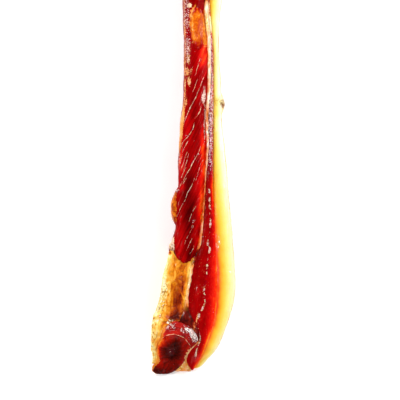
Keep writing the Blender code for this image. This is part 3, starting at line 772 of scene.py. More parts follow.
fatPad = {
    "names": ("rib_side_fat_pad", "fat_pad", "pad_amber", "padAmber"),
    "left": ribSide, "right": lambda s: np.where(besideRoll(s), rollLeft(s), seamInside(s)), "top": padTop,
    "grown": (0, 1), "edges": (6.0, lambda s: np.where(besideRoll(s), 0.6, 0.1)),
    "ends": (9.4, 106.2), "endRound": 1.8, "thin": (0.3, 1, 0.5), "roundRings": 7, "capRings": 6, "step": 0.5,
    "points": (30, 12, 60, 10),
    "hollowAt": 66.0, "hollowHalf": 27.0, "hollowDeep": 5.0, "hollowAcross": (0.22, 0.62),
    "bigLump": 1.0, "smallLump": 0.7, "crease": 0.5, "rollStep": 1.5, "ridgeHigh": 2.2,
    "woundAt": (-14.4, 52.8),       # streaks run out from this small dent
    "shade": smoothLine((9, 0), (38, 0.08), (49, 0.34), (58, 0.38), (67, 0.36), (85, 0.26), (99, 0.05),
                        (107, 0)),
    "browned": [     # x, s, half sizes, how much
        (-18, 52, 3.6, 3.6, 0.2), (-22.6, 52.6, 4, 4, 0.22), (-18, 79, 5, 5, 0.16), (-9, 97, 4.4, 4.4, 0.22),
        (-5, 86, 4, 4, 0.14),
    ],
    "ridges": [     # from (x, s) to (x, s), half width, how much lighter
        (-13, 80, -4.8, 62.5, 1.3, 0.24), (-19.6, 88, -21, 60, 1.4, 0.14), (-24.6, 78, -22, 64, 1.3, 0.18),
        (-22.4, 63, -25, 56, 1.2, 0.16), (-22, 80, -23.4, 58, 0.9, -0.14), (-16, 79, -17.2, 60, 1, -0.16),
        (-26.6, 70, -29, 48, 1, -0.10), (-9.4, 92, -8.6, 74, 1.2, -0.12), (-14, 100, -17, 84, 1.6, 0.08),
    ],
    "look": {
        **fatLook, "mottle": 0.34, "mottleScale": 230, "fine": 0.24, "fineScale": 900, "fineBump": 0.25,
        "stops": [(0.0, "fdf0c0"), (0.14, "f8da7c"), (0.30, "f2ae40"), (0.46, "e08818"), (0.60, "c5620c"),
                  (0.74, "aa4209"), (0.88, "822204"), (1.0, "540c04")],
        "filmAndSheen": "c88420", "filmAndSheenShare": 0.4, "glintFleck": "fffbe4", "glintFleckScale": 520, "glintFleckBump": 0.4,
        "deep": "a08438", "bump": 0.8,
        "glow": 0.25, "glowReach": (1.0, 0.5, 0.18), "shine": 0.05, "oil": 0.09,
    },
}


def makeFatPad():
    grid = uprightLayer(fatPad)
    x, s, z, a = grid.x, grid.s, grid.z, grid.across
    hollow = swell(s, fatPad["hollowAt"], fatPad["hollowHalf"]) * swell(a, *fatPad["hollowAcross"])
    nextTop = np.where(besideRoll(s), rollTop(s) - fatPad["rollStep"], seamTop(s))
    rise = 1 - a ** 2 + commonSwell(x, s) * (0.5 + 0.5 * ramp(a, 0, 1)) - fatPad["hollowDeep"] * hollow
    grid.z = z + grid.up * (rise + reachOver(grid, padTop(s), nextTop))
    grid.x = x + np.clip(-a, 0, 1) ** 2 * lowFade(z) * 1.2 * rough(s / 12, z / 12, 4)
    grid.s = s + wavyBorder(grid, 106.2, 1) + retreat(x, z) * ramp(s, 92, 106)
    wx, ws = x + 2.2 * swirl(x / 8, s / 8, 1), s + 3 * swirl(x / 9, s / 9, 2)
    big = swirl(wx / 6.5, ws / 11, z / 14)
    small = rough(wx / 2.8, ws / 4.6, z / 6 + 3)
    crease = crack(swirl(wx / 5, ws / 9.5, 7), 0.07)
    lighter = 0 * x
    for x0, s0, x1, s1, half, amount in fatPad["ridges"]:
        share = np.clip((s0 - s) / (s0 - s1), 0, 1)
        bend = x0 + (x1 - x0) * share + 0.8 * swirl(s / 5, x0)
        lighter += amount * swell(x, bend, half) * swell(share, 0.5, 0.5) ** 0.5
    relief = fatPad["bigLump"] * big + fatPad["smallLump"] * small - fatPad["crease"] * crease
    relief += fatPad["ridgeHigh"] * lighter - 0.6 * np.clip(-a, 0, 1) * ramp(s, 50, 66)
    pushOut(grid, relief * (0.35 + 0.65 * grid.up) * ramp(grid.right - grid.left, 3, 12))
    flank = np.maximum(ramp(grid.top - z, 3, 10) * (grid.leftward > 0.3), cutEnds(grid))
    lowPart = 1 - ramp(s, 40, 56)
    tone = 0.04 + 0.08 * lowPart + (0.42 - 0.22 * lowPart) * ramp(a, -0.96 + 0.6 * lowPart, 1.4 * lowPart)
    tone += fatPad["shade"](s) * swell(a, 0.48, 0.62) - 1.3 * lighter + 0.07 * swell(a, -0.5, 0.5)
    woundX, woundS = fatPad["woundAt"]
    woundOut = np.hypot((x - woundX) / 7.5, (s - woundS) / 8.0)
    streaks = swirl(np.arctan2(s - woundS, x - woundX) * 3.2, woundOut * 1.3, 4)
    wound = swell(woundOut, 0, 1)
    tone += 0.3 * wound + 0.16 * streaks * swell(woundOut, 0.5, 0.5) + 0.36 * spot(x, s, -7.6, 56.5, 4.4, 8)
    # darker on the lumps, with painted shade in the creases
    tone += 0.15 * big + 0.10 * crease + 0.19 * small
    fromRight = x - grid.right
    tone = blend(tone, 0.34, 0.8 * ramp(fromRight, -1.8, -0.1) * ramp(s, 58, 64))
    creamRim = ramp(fromRight + 2 * small, -3.2, -0.8) * (swell(s, 92, 9) ** 0.5 + 0.35 * swell(s, 76, 14))
    tone = tone * (1 - 0.85 * creamRim) + 0.1 * creamRim
    nub = swell(np.hypot((grid.x + 20.4) / 2.3, (grid.s - 110.2) / 2.6) + 0.3 * small, 0, 1) ** 0.7
    tone += 0.3 * ramp(a, 0.35, 1) * swell(s, 21, 12) + spots(x, s, fatPad["browned"]) + 0.8 * nub
    folds = rough(s / 16 + 0.6 * swirl(s / 9, z / 8, 3), z / 5 + x / 9, 8)
    tone = blend(tone, 0.26 + 0.26 * folds + 0.12 * rough(s / 4, z / 2.5, 1 + x / 5), flank)
    stipple = ramp(-a, 0.1, 0.7) * (1 - ramp(s, 76, 92)) * (1 - flank)
    specks = rough(x / 1.7, s / 2, z / 2, 3)
    tone += 0.34 * stipple * specks
    stains = ramp(rough(x / 2.4, s / 3.4, 9), 0.1, 0.4) * (1 - stipple) * (1 - flank)
    # painted glints along the stippled left edge, and a painted highlight beside the rolled end's shoulder
    filmAndSheen = 0.75 * stipple * ramp(rough(x / 3, s / 4.5, 5), -0.35, 0.3)
    filmAndSheen += 0.95 * spot(x, s, -20, 47.4, 6.2, 3.8) ** 0.5
    marks = {
        "tone": tone, "filmAndSheen": filmAndSheen * grid.up, "dull": 0.1 * (1 - hollow),
        "deep": 0.25 * wound * ramp(small, -0.3, 0.3) + 0.9 * stipple * ramp(specks, 0.08, 0.3)
        + 0.4 * stains,
    }
    dress(fatPad, grid, marks)


# Inner lean: the long muscle with slanting fibres

innerLean = {
    "names": ("inner_lean_muscle", "inner_lean", "inner_red", "innerLeanRed"),
    "left": ribSide, "right": seamInside, "top": innerTop, "grown": (0, 1), "edges": (innerBevel, 0.3),
    "ends": (106.3, 375.5), "endRound": 5.0, "thin": (0.3, 1, 0.5), "roundRings": 12, "capRings": 34,
    "step": 0.72, "points": (32, 14, 42, 8),
    "slope": 2.0,           # of the fibres: mm along for each mm across
    "bundle": 0.3, "groove": 0.22, "fibre": 0.07, "stipple": 0.3,
    "foldSpacing": 23.0, "foldDeep": 0.55, "foldSlant": 1.9,
    "tongue": 6.5,          # how far its lower end lies over the pad
    "lobeAt": 152.0, "lobeHalf": 17.0, "lobeOut": 5.0, "lobeBlunt": 0.35,
    "haloAt": (3.6, 315.5), "haloHalf": (6.4, 16.6),        # a thin veil of fat beside the island
    # line of the painted glare beside the seam
    "glareLine": smoothLine((206, 11.4), (214, 10.8), (224, 10.8), (231, 11.2), (238, 11.3), (243.5, 10.9),
                            (250, 9.8)),
    # half width of the painted highlight beside the seam
    "flareWide": smoothLine((243, 0), (248, 2.1), (251, 2.2), (255, 1.2), (262, 0)),
    "patches": [    # x, s, half sizes, how much brighter
        (9.4, 287, 6.4, 22, 0.34), (10, 195, 5.5, 40, 0.28), (-9.5, 186, 5, 12, 0.2), (-11, 129, 9, 22, 0.08),
        (-9, 169, 4, 6, 0.2), (-13.5, 119, 4, 7, 0.1), (8.8, 209, 3.2, 24, 0.18), (8.8, 160, 3.6, 16, 0.2),
        (7.5, 150, 5, 32, 0.32), (-3.5, 152, 8, 52, -0.26), (0.5, 113, 13, 13, -0.2), (1, 235, 7, 34, -0.12),
        (1, 344, 14, 20, -0.12), (-4, 225, 7, 22, 0.1),
    ],
    "tufts": [      # small islands of fat along the bevel: x, s, half sizes, how dense
        (1.6, 303, 1.4, 5, 0.5), (-3, 297, 2.6, 7, 0.5), (-3.1, 293, 2, 4, 0.8), (-3.8, 285, 2.3, 7, 1.15),
        (0.6, 299, 2, 6, 0.62), (-4.6, 273, 2.3, 6, 1), (-1.4, 273.5, 1.5, 5.5, 0.8),
        (-3.2, 265, 2.4, 6.5, 1), (-5.9, 245.5, 2, 5.5, 0.8),
    ],
    "look": {
        **leanLook, "fatBreak": 1.4, "fatScale": 900, "filmAndSheen": "861c28", "glintFleck": "f8d0c6", "glintFleckScale": 860,
    },
}


def fibreAcross(wrap, s):       # the same number all along one fibre
    bend = 1.5 * swirl(wrap / 16, s / 30, 2)
    return (s - innerLean["slope"] * (wrap + 9) + bend) / math.hypot(1, innerLean["slope"])


def makeInnerLean():
    grid = uprightLayer(innerLean)
    x, s, z = grid.x, grid.s, grid.z
    furrow = 0.5 - 0.5 * np.cos(2 * math.pi * (s - innerLean["foldSlant"] * x) / innerLean["foldSpacing"])
    swelling = (0.7 + 0.3 * ramp(grid.across, 0, 1)) * commonSwell(x, s) + 1 * (1 - grid.across ** 2)
    swelling += reachOver(grid, innerTop(s), seamTop(s)) - innerLean["foldDeep"] * furrow ** 3
    grid.z = z + grid.up * swelling
    lobe = swell(s, innerLean["lobeAt"], innerLean["lobeHalf"]) ** innerLean["lobeBlunt"] * swell(z, 25, 19)
    bulge = 0.8 * rough(s / 17, z / 10, 5) - innerLean["lobeOut"] * lobe
    grid.x = x + np.clip(-grid.across, 0, 1) ** 2 * lowFade(z) * bulge
    tongue = innerLean["tongue"] * swell(x, -6.5, 10.5) + 1.3 * rough(x / 3.2, z / 3, 9)
    grid.s = s - tongue * ramp(124 - s, 0, 16) * ramp(z, 30, 33.5) + wavyBorder(grid, 106.3, -1)
    grid.s = grid.s + retreat(x, z) * ramp(124 - s, 0, 17)
    xNow, drop = grid.x, grid.top - z
    fibre = fibreAcross(grid.wrap, s)
    along = s * 0.9 + x * 0.45
    bundle = swirl(fibre / 2.6, along / 60, 3)
    strand = swirl(fibre / 0.95, along / 26, 6)
    cut = crack(bundle, 0.1)
    onTop = 1 - ramp(drop, 3, 9)
    stipple = ramp(s, 264, 298) * ramp(-grid.across, 0.25, 0.62) * onTop
    relief = innerLean["bundle"] * bundle + innerLean["fibre"] * strand - innerLean["groove"] * cut
    relief += innerLean["stipple"] * stipple * rough(grid.wrap / 1.1, s / 1.6, 4, 2)
    flank = grid.leftward * (1 - onTop)
    membrane = rough(s / 9, z / 5, 2)
    sag = flank * (0.9 * swirl(s / 18, z / 10, 3) + 0.35 * membrane) * lowFade(z)
    pushOut(grid, relief * (0.25 + 0.75 * grid.up) + sag)
    cap = cutEnds(grid)
    flank, stipple = flank * (1 - cap), stipple * (1 - cap)
    toSeam, fromRib = grid.right - x, x - grid.left

    tone = 0.45 + 0.11 * bundle + 0.06 * strand + 0.1 * rough(fibre / 5, along / 40, 8)
    tone += spots(x, s, innerLean["patches"])
    # brighter towards the seam: a painted glow of light through the seam fat
    tone += 0.34 * fade(toSeam, 1.6) * (0.4 + 0.6 * ramp(rough(s / 14, x / 6, 3), -0.2, 0.4))
    tone += 0.3 * swell(s, 119, 14) * fade(toSeam, 3) * onTop
    tone = blend(tone, 0.4 + 0.12 * bundle + 0.05 * strand + 0.14 * rough(s / 26, z / 8, 11), flank)
    tone = blend(tone, 0.44 + 0.2 * rough(x / 4.5, z / 4.5, 3) + 0.1 * rough(x / 1.5, z / 1.5, 7), cap)
    warm = ramp(-fromRib, -6.5, -1) * swell(s, 190, 32) ** 0.5 * onTop
    tone += 0.34 * warm * ramp(strand + 0.8 * bundle, -0.3, 0.4)

    # fatty rim of the upper part, the lobe's rim, and fat on the flank
    edge = np.maximum(ramp(-fromRib, -2.6, -0.6), ramp(-fromRib, -4, -1.6) * swell(s, 226, 38) ** 0.8)
    rimDrop = drop + 2.2 * rough(s / 9, 3, 7) + 1.2 * membrane - 3.5 * ramp(s, 250, 212)
    upperRim = edge * ramp(s + 5 * rough(x / 2, z / 3, 4), 190, 207) * (1 - ramp(rimDrop, 3, 8))
    upperRim *= 0.9 + 0.35 * swirl(s / 12, 0.5, 2)
    fuzzy = rough(s / 1.6, z / 1.6, 1, 2)
    oval = np.hypot((s - 151) / 17, (drop - 5) / 13) + 0.2 * rough(s / 5, z / 4, 4)
    lobeRim = ramp(-14.6 - xNow + 1.3 * fuzzy, -0.9, 0.7) * (1 - ramp(oval + 0.14 * fuzzy, 0.66, 1.06))
    lobeRim *= ramp(s, 131, 136) * (1 - 0.8 * ramp(strand, 0.05, 0.4) * ramp(xNow, -17.2, -15.4))
    veins = crack(swirl(fibre / 4.2, along / 70, 9), 0.06) * ramp(rough(s / 14, z / 7, 6), -0.1, 0.25)
    flankFat = flank * (0.6 * veins + 0.42 * ramp(rough(s / 26, z / 7, 6) + 0.35 * membrane, 0, 0.5))

    # fat round the island and along the bevel, and the painted highlight beside the seam
    patchOut = np.hypot((x + 3) / 2.7, (s - 332) / 2.2) + 0.45 * rough(x / 1.7, s / 1.9, 4)
    patch = ramp(1.1 - patchOut, -0.1, 0.35)
    (haloX, haloS), (haloA, haloB) = innerLean["haloAt"], innerLean["haloHalf"]
    haloOut = np.hypot((x - haloX) / haloA, (s - haloS) / haloB) + 0.3 * rough(x / 1.8, s / 2.4, 7)
    halo = ramp(1.12 - haloOut, -0.1, 0.25) * ramp(s, 303, 314) * ramp(4.5 - x, -1, 3) * onTop
    besideIsland = ramp(x, 9.4, 10.7) * ramp(1.15 - np.abs(s - 313) / 19 + 0.25 * fuzzy, 0, 0.5)
    dots = rough(xNow / 0.9, s / 1.2, 4, 2)
    lowTuft = swell(grid.s, 117, 13) ** 0.5 * ramp(-16.4 - xNow + 1.5 * dots, -0.3, 0.6) * onTop
    tufts = 0 * x
    for tuftX, tuftS, halfX, halfS, dense in innerLean["tufts"]:
        slanted = x + 0.5 * (s - tuftS) / halfS
        tufts = np.maximum(tufts, dense * spot(slanted, s, tuftX, tuftS, 1.25 * halfX, 1.2 * halfS) ** 0.7)
    tufts *= onTop * (0.75 + 0.9 * swirl(fibre / 0.9, along / 7, 9) + 0.3 * fuzzy)
    # painted highlight beside the seam: a flare and a glare line, drawn in pale fat colour
    wide = innerLean["flareWide"](s)
    flare = ramp(wide - np.abs(x - 10.4 - 0.12 * (s - 252)) + 0.25 * fuzzy, 0, 0.6) * (wide > 0.05)
    glare = swell(x, innerLean["glareLine"](s) + 0.3 * swirl(s / 3, 6.6), 1.1)
    flare = np.maximum(flare, 0.75 * glare * ramp(s, 206, 214) * ramp(250 - s, 0, 8))
    lines = 0.075 - np.abs(swirl(x / 6.5 + 0.35 * rough(x / 3, z / 3, 5), z / 6.5, 4))
    marbling = cap * ramp(lines, 0, 0.05) * ramp(rough(x / 7, z / 7, 9), -0.3, 0)
    fat = np.maximum.reduce([
        0.98 * upperRim, 0.85 * marbling, 0.9 * lobeRim, flankFat, 0.9 * patch, 0.9 * tufts, 0.85 * flare,
        0.9 * lowTuft, 0.95 * besideIsland, 0.85 * halo])

    # painted glints and sheen on the stippled bevel, the tufts, the flank, along the rib edge and on the
    # lobe's top, with the painted highlight beside the seam
    filmAndSheen = 0.58 * stipple + 0.2 * tufts + 0.8 * flare + 0.14 * flank + 0.55 * lowTuft * ramp(fuzzy, -0.1, 0.2)
    filmAndSheen += 0.4 * swell(fromRib, 1, 1.6) * swell(s, 196, 34) * onTop + 0.35 * lobeRim * ramp(s, 155, 164)
    filmAndSheen += 0.5 * spot(x, s, -12.5, 166, 4.5, 4) * onTop - 0.3 * stipple * swell(s, 308, 7)
    blotch = rough(s / 3.4, z / 3.4, 6)
    pale = 0.42 + patch * (0.75 * ramp(0.5 - x, -1.5, 2) - 0.12) + (0.22 + 0.2 * ramp(s, 276, 284)) * tufts
    pale += 1.1 * flare + upperRim * (0.1 + 0.16 * rough(s / 7, z / 3, 5)) - 0.06 * besideIsland
    pale += halo * (0.3 * rough(x / 1.5, s / 2, 2) - 0.2 * ramp(x, 1, 4)) * (1 - patch)
    pale += flank * (0.3 + 0.3 * membrane) - (0.31 - 0.3 * fuzzy - 0.5 * blotch) * lobeRim
    pale += lowTuft * (0.75 * (dots > -0.25) - 0.05)
    marks = {
        "tone": tone, "fat": fat, "fatTone": pale, "filmAndSheen": filmAndSheen, "dull": 0.25 * flank,
        # painted shade darkens the fibre grooves
        "deep": 0.35 * cut * grid.up + 0.6 * lowTuft * (dots < -0.3) + 0.5 * lobeRim * (blotch < -0.2),
    }
    return dress(innerLean, grid, marks, (blend(fibre, x, cap), blend(along, 12.0 * z, cap)))


# Island of fat set in the inner lean

fatIsland = {
    "names": ("island_of_fat", "fat_island", "island_tan", "islandTan"),
    "at": (4.5, 311.5), "half": (6.4, 19.5, 3.3), "sunk": 0.4, "lean": 2.0,
    "around": 240, "rings": 110, "lumps": 0.6,
    "look": {
        **fatLook, "mottle": 0.44, "mottleScale": 280, "fine": 0.22,
        "stops": [(0.0, "fde8b8"), (0.2, "f6b050"), (0.4, "e67e12"), (0.6, "c65604"), (0.8, "b83004"),
                  (0.92, "b41005"), (1.0, "a00404")],
        "deep": "c02010", "glow": 0.25, "glowReach": (1.0, 0.3, 0.08), "shine": 0.12, "bump": 0.5,
    },
}


def makeIsland():
    turn = np.linspace(0, 2 * math.pi, fatIsland["around"], endpoint=False)[None]
    tilt = np.linspace(-math.pi / 2, math.pi / 2, fatIsland["rings"] + 2)[1:-1][:, None]
    (x0, s0), (a, b, c) = fatIsland["at"], fatIsland["half"]
    ux, us, uz = np.cos(tilt) * np.cos(turn), np.cos(tilt) * np.sin(turn), np.sin(tilt) + 0 * turn
    ragged = 1 + 0.13 * swirl(ux * 2, us * 3, uz * 2) + 0.12 * rough(ux * 3.5, us * 8, uz * 3 + 2)
    x, s = a * ux * ragged, b * us * (1 + 0.06 * swirl(ux * 2, us * 2, uz * 2 + 4))
    lean = math.radians(fatIsland["lean"])
    grid = SimpleNamespace(
        x=x0 + x * math.cos(lean) - s * math.sin(lean),
        s=s0 + x * math.sin(lean) + s * math.cos(lean),
        z=innerTop(s0) - fatIsland["sunk"] + c * np.sign(uz) * np.abs(uz) ** 0.75)
    lumps = rough(grid.x / 3, grid.s / 5, 2)
    pushOut(grid, fatIsland["lumps"] * lumps)
    x, s = grid.x, grid.s
    side = (x - x0) / a
    end = ramp(304 - s, 0, 10) + 0.15 * ramp(s - 324, 0, 6)
    grain = rough(x / 1.2, s / 2.6, 6)
    onLeft = ramp(0.5 - side, -0.3, 0.3)
    tone = 0.6 - 0.34 * ramp(side, 0.7, 1.05) + 0.34 * lumps + 0.34 * grain + 0.42 * end
    tone += 0.1 * swell(s, 314.5, 9) * ramp(side, 0, 0.4) - 0.17 * swell(s, 327, 7) * ramp(side, 0, 0.5)
    tone -= 0.16 * ramp(-side, 0.2, 0.8) * ramp(s, 306, 316)
    tone -= 0.5 * swell(side, -0.8, 0.42) * ramp(grain, -0.05, 0.25)
    tone -= 0.5 * ramp(grain, 0.34, 0.42) * ramp(0.3 - side, -0.3, 0.3)      # pale dots
    tone += 0.5 * ramp(np.hypot(side, (s - s0) / b) + 0.5 * grain, 0.8, 1.05) * onLeft
    dress(fatIsland, grid, {"tone": tone, "deep": 0.15 * end})


# Threads of fat that lie in the grooves of the inner lean, and beads of oil

fatThreads = {
    "radius": 0.28, "sides": 8, "uneven": 0.62, "sunk": 0.05, "step": 0.7, "fineStep": 0.6,
    "runs": [       # thickness, then the (x, s) it passes
        (1.2, [(6.5, 258.4), (2.1, 248), (-2.4, 239.8), (-7.7, 226.4)]),
        (1.0, [(8.7, 243.1), (5.8, 235.3), (2, 230.3)]),
        (0.7, [(7.3, 286.7), (5, 278), (2, 268)]),
        (0.7, [(0.5, 278), (-1.6, 273), (-3.2, 268)]),
        (0.6, [(5, 267.3), (2.8, 261), (0, 254)]),
        (0.8, [(12, 272), (8.7, 264.3), (5.8, 257)]),
        (1.0, [(1.6, 227.1), (0.4, 221.4), (-3.6, 215.1), (-8, 210.2), (-10.6, 205.2)]),
        (1.1, [(5.7, 199.8), (1.6, 193.5), (-2.4, 185.4), (-5, 181.3), (-8.8, 173.3)]),
        (0.9, [(-4.6, 202), (-5.6, 199), (-8, 190.9), (-10.4, 184.5)]),
        (0.8, [(-2.6, 202), (-4.4, 195), (-7, 187), (-9.6, 179)]),
        (0.6, [(-8.6, 199), (-9.8, 195), (-10.8, 191)]),
        (0.8, [(-4.8, 178.1), (-6.8, 175), (-8.8, 171.6)]),
        (0.8, [(-9, 176), (-10.4, 172), (-11.6, 168.4)]),
        (0.7, [(9.6, 194.1), (8, 190.8), (6.4, 187.7)]),
        (0.9, [(7.6, 207), (6.4, 203), (4, 197.4)]),
        (0.6, [(4, 153.2), (0.8, 148.3), (-1.6, 142.7), (-3.2, 137.9)]),
        (0.5, [(3.2, 141.1), (0, 135.5), (-1.6, 129.9), (-5.6, 121.9), (-8, 115.4)]),
        (0.75, [(2.4, 178.2), (-0.8, 170.1), (-4.9, 162.9), (-6.4, 158), (-10.4, 150.8), (-14, 142)]),
        (0.6, [(7, 188), (4.4, 180), (2.4, 171)]),
        (0.6, [(2.4, 138.6), (-0.8, 130.5), (-5.6, 122.4), (-7.2, 117)]),
        (0.8, [(-0.2, 124), (-2.4, 118.7), (-5.6, 111.5)]),
        (1.0, [(-3, 212), (-6.4, 206), (-10, 199)]),
        (0.9, [(-5.4, 188), (-7.6, 183), (-10, 177)]),
        (0.8, [(1.6, 117), (-0.4, 112), (-2.6, 109)]),
        (0.8, [(-4, 352), (1, 361), (4, 368)]),
        (0.7, [(-1, 340), (3, 350), (7, 358)]),
    ],
    "look": {
        **fatLook, "mottle": 1.1, "mottleScale": 300,
        "stops": [(0.0, "e87848"), (0.4, "f8bc8c"), (1.0, "fff0d8")],
    },
}
fatBeads = {
    "radius": 0.52, "least": 0.35, "density": 330000.0, "seed": 5, "flat": 0.55,
    "look": {
        **fatLook, "mottle": 1.2, "mottleScale": 420,
        "stops": [(0.0, "d88a7c"), (0.5, "f6cfc4"), (1.0, "fff4ec")],
        "roughness": 0.15, "glow": 0.2, "shine": 0.45, "oil": 0.9,
    },
}


def newTree(name, sockets):
    tree = bpy.data.node_groups.new(name, "GeometryNodeTree")
    tree.is_modifier = True
    tree.interface.new_socket("Geometry", in_out="INPUT", socket_type="NodeSocketGeometry")
    for socketName, kind in sockets.items():
        tree.interface.new_socket(socketName, in_out="INPUT", socket_type="NodeSocket" + kind)
    tree.interface.new_socket("Geometry", in_out="OUTPUT", socket_type="NodeSocketGeometry")
    return tree, tree.nodes.new("NodeGroupInput").outputs


def closeTree(tree, geometry, material):
    realised = addNode(tree, "GeometryNodeRealizeInstances", {"Geometry": geometry})
    dressed = addNode(tree, "GeometryNodeSetMaterial", {"Geometry": realised, "Material": material})
    addNode(tree, "NodeGroupOutput", {0: dressed})


def grow(name, source, tree, values):       # runs a tree on a piece and keeps the result as a plain mesh
    modifier = source.modifiers.new(tree.name, "NODES")
    modifier.node_group = tree
    sockets = {item.name: item.identifier for item in tree.interface.items_tree if item.in_out == "INPUT"}
    for socketName, value in values.items():
        modifier[sockets[socketName]] = value
    graph = bpy.context.evaluated_depsgraph_get()
    mesh = bpy.data.meshes.new_from_object(source.evaluated_get(graph), depsgraph=graph)
    source.modifiers.remove(modifier)
    mesh.vertices.foreach_set("co", np.clip(readPoints(mesh), lowest, highest).ravel())
    mesh.update()
    for markName in ("filmAndSheen", "deep", "dull", "fat", "fatTone", "tone"):
        if markName in mesh.attributes:
            mesh.attributes.remove(mesh.attributes[markName])
    setMark(mesh, "tone", np.full(len(mesh.vertices), 0.5))
    return addPiece(name, mesh)


def threadPaths(muscle):        # curves that lie on the muscle's surface
    ground = BVHTree.FromObject(muscle, bpy.context.evaluated_depsgraph_get())
    curve = bpy.data.curves.new("fatThreadPaths", "CURVE")
    curve.dimensions = "3D"
    for run, (thick, way) in enumerate(fatThreads["runs"]):
        way = sorted((s, x) for x, s in way)
        s = np.arange(way[0][0], way[-1][0], fatThreads["step"])
        x = smoothLine(*way)(s) + 0.35 * swirl(s / 4, run * 1.7) + 0.12 * swirl(s / 1.3, run * 2.3)
        starts = np.stack([x - strip["middleX"], s - strip["length"] / 2, 60 + 0 * s], -1) / 1000
        hits = [ground.ray_cast(Vector(start), Vector((0, 0, -1)))[0] for start in starts]
        hits = [hit for hit in hits if hit]
        spline = curve.splines.new("POLY")
        spline.points.add(len(hits) - 1)
        for point, hit, share in zip(spline.points, hits, np.linspace(0, 1, len(hits))):
            point.co = (hit.x, hit.y, hit.z - fatThreads["sunk"] / 1000, 1)
            point.radius = thick * (0.25 + 0.75 * abs(math.sin(math.pi * share)) ** 0.5)
    return addPiece("fatThreadPaths", curve)


def makeThreads(muscle):
    tree, given = newTree("sweepFatThreads", {
        "Radius": "Float", "Sides": "Int", "Uneven": "Float", "Material": "Material"})
    along = addNode(tree, "GeometryNodeResampleCurve", {
        "Curve": given["Geometry"], "Length": fatThreads["fineStep"] / 1000}, mode="LENGTH")
    place = addNode(tree, "GeometryNodeInputPosition")
    waves = addNode(tree, "ShaderNodeTexNoise", {"Vector": place, "Scale": 420.0, "Detail": 2.0})
    least = compute(tree, "SUBTRACT", 1.0, given["Uneven"])
    spread = addNode(tree, "ShaderNodeMapRange", {
        "Value": waves, "From Min": 0.3, "From Max": 0.7, "To Min": least, "To Max": 1.3})
    scaled = compute(tree, "MULTIPLY", addNode(tree, "GeometryNodeInputRadius"), spread)
    sized = addNode(tree, "GeometryNodeSetCurveRadius", {"Curve": along, "Radius": scaled})
    profile = addNode(tree, "GeometryNodeCurvePrimitiveCircle", {
        "Resolution": given["Sides"], "Radius": given["Radius"]})
    swept = addNode(tree, "GeometryNodeCurveToMesh", {
        "Curve": sized, "Profile Curve": profile, "Scale": scaled, "Fill Caps": True})
    smooth = addNode(tree, "GeometryNodeSetShadeSmooth", {"Geometry": swept})
    closeTree(tree, smooth, given["Material"])
    paths = threadPaths(muscle)
    piece = grow("fat_threads", paths, tree, {
        "Radius": fatThreads["radius"] / 1000, "Sides": fatThreads["sides"], "Uneven": fatThreads["uneven"],
        "Material": meatMaterial("threadCream", fatThreads["look"]),
    })
    bpy.data.objects.remove(paths)
    handOver(piece)


def makeBeads(source, name):
    tree, given = newTree("scatterFatBeads", {
        "Radius": "Float", "Least": "Float", "Density": "Float", "Seed": "Int", "Material": "Material"})
    filmAndSheen = addNode(tree, "GeometryNodeInputNamedAttribute", {"Name": "filmAndSheen"}, data_type="FLOAT")
    wet = addNode(tree, "ShaderNodeMapRange", {"Value": filmAndSheen, "From Min": 0.22, "From Max": 0.75})
    thick = compute(tree, "MULTIPLY", wet, given["Density"])
    places = addNode(tree, "GeometryNodeDistributePointsOnFaces", {
        "Mesh": given["Geometry"], "Density": thick, "Seed": given["Seed"]}).outputs
    size = addNode(tree, "FunctionNodeRandomValue", {
        "Min": given["Least"], "Max": 1.0, "Seed": given["Seed"]}, data_type="FLOAT")
    ball = addNode(tree, "GeometryNodeMeshUVSphere", {"Segments": 7, "Rings": 5, "Radius": given["Radius"]})
    low = addNode(tree, "GeometryNodeTransform", {"Geometry": ball, "Scale": (1.0, 1.0, fatBeads["flat"])})
    smooth = addNode(tree, "GeometryNodeSetShadeSmooth", {"Geometry": low})
    placed = addNode(tree, "GeometryNodeInstanceOnPoints", {
        "Points": places["Points"], "Instance": smooth, "Rotation": places["Rotation"],
        "Scale": size.outputs[1]})
    closeTree(tree, placed, given["Material"])
    handOver(grow(name, source, tree, {
        "Radius": fatBeads["radius"] / 1000, "Least": fatBeads["least"], "Density": fatBeads["density"],
        "Seed": fatBeads["seed"], "Material": meatMaterial(name + "Cream", fatBeads["look"]),
    }))


# Floor, light and camera

studio = {
    "pixels": 400, "pixel": 0.9,        # mm of the object for each pixel of the picture
    "centre": (6.15, -31.5, 25.0),      # what the middle of the picture looks at
    "lens": 400.0, "sensor": 36.0,
    "skyStrength": 0.06, "floorTone": 0.84, "floorGlow": 0.34,
    "lamps": [      # place in metres, size, power, warmth
        ((-0.85, 0.75, 0.62), (0.30, 0.30), 11.0, (1.0, 0.98, 0.95)),
        ((0.90, 0.70, 0.60), (0.30, 0.30), 11.0, (1.0, 0.98, 0.95)),
        ((0.10, -1.10, 0.80), (0.9, 0.5), 6.0, (1.0, 1.0, 1.0)),
        ((-0.62, -0.10, 1.05), (0.05, 0.30), 5.0, (1.0, 1.0, 1.0)),
        ((0.66, 0.15, 1.05), (0.05, 0.30), 5.0, (1.0, 1.0, 1.0)),
    ],
}


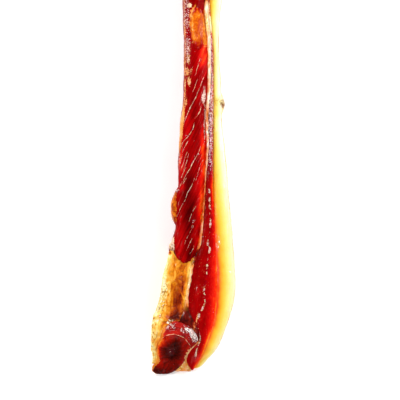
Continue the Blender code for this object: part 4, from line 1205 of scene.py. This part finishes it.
def makeStudio():
    scene = bpy.context.scene
    scene.view_settings.view_transform = "Standard"
    scene.world = bpy.data.worlds.new("softSky")
    scene.world.use_nodes = True
    sky = scene.world.node_tree.nodes["Background"]
    sky.inputs["Color"].default_value = (1, 1, 1, 1)
    sky.inputs["Strength"].default_value = studio["skyStrength"]

    mesh = bpy.data.meshes.new("paleFloor")
    mesh.from_pydata([(-4, -4, 0), (4, -4, 0), (4, 4, 0), (-4, 4, 0)], [], [(0, 1, 2, 3)])
    material = bpy.data.materials.new("floorWhite")
    material.use_nodes = True
    shader = material.node_tree.nodes["Principled BSDF"]
    shader.inputs["Base Color"].default_value = (*[studio["floorTone"]] * 3, 1)
    shader.inputs["Roughness"].default_value = 0.6
    shader.inputs["Specular IOR Level"].default_value = 0.1
    shader.inputs["Emission Color"].default_value = (1, 1, 1, 1)
    shader.inputs["Emission Strength"].default_value = studio["floorGlow"]
    mesh.materials.append(material)
    floor = addPiece("paleFloor", mesh)

    aim = Vector(studio["centre"]) / 1000
    for k, (place, size, power, warmth) in enumerate(studio["lamps"]):
        light = bpy.data.lights.new(f"softBox{k + 1}", "AREA")
        light.shape = "RECTANGLE"
        light.size, light.size_y = size
        light.energy, light.color = power, warmth
        lamp = addPiece(light.name, light)
        lamp.location = place
        lamp.rotation_euler = (aim - lamp.location).to_track_quat("-Z", "Y").to_euler()

    view = bpy.data.cameras.new("camera")
    view.lens, view.sensor_width = studio["lens"], studio["sensor"]
    reach = studio["pixels"] * studio["pixel"] / 1000 * view.lens / view.sensor_width
    camera = addPiece("camera", view)
    camera.location = aim + Vector((0, 0, reach))
    scene.camera = camera


makeStudio()
makeBackFat()
outer = makeOuterLean()
makeSeamFat()
rolled = makeRolledEnd()
makeFatPad()
muscle = makeInnerLean()
makeIsland()
makeThreads(muscle)
makeBeads(outer, "beads_on_outer_lean")
makeBeads(muscle, "beads_on_inner_lean")
makeBeads(rolled, "beads_on_rolled_end")

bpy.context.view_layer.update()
print("cured pork belly: dressed")
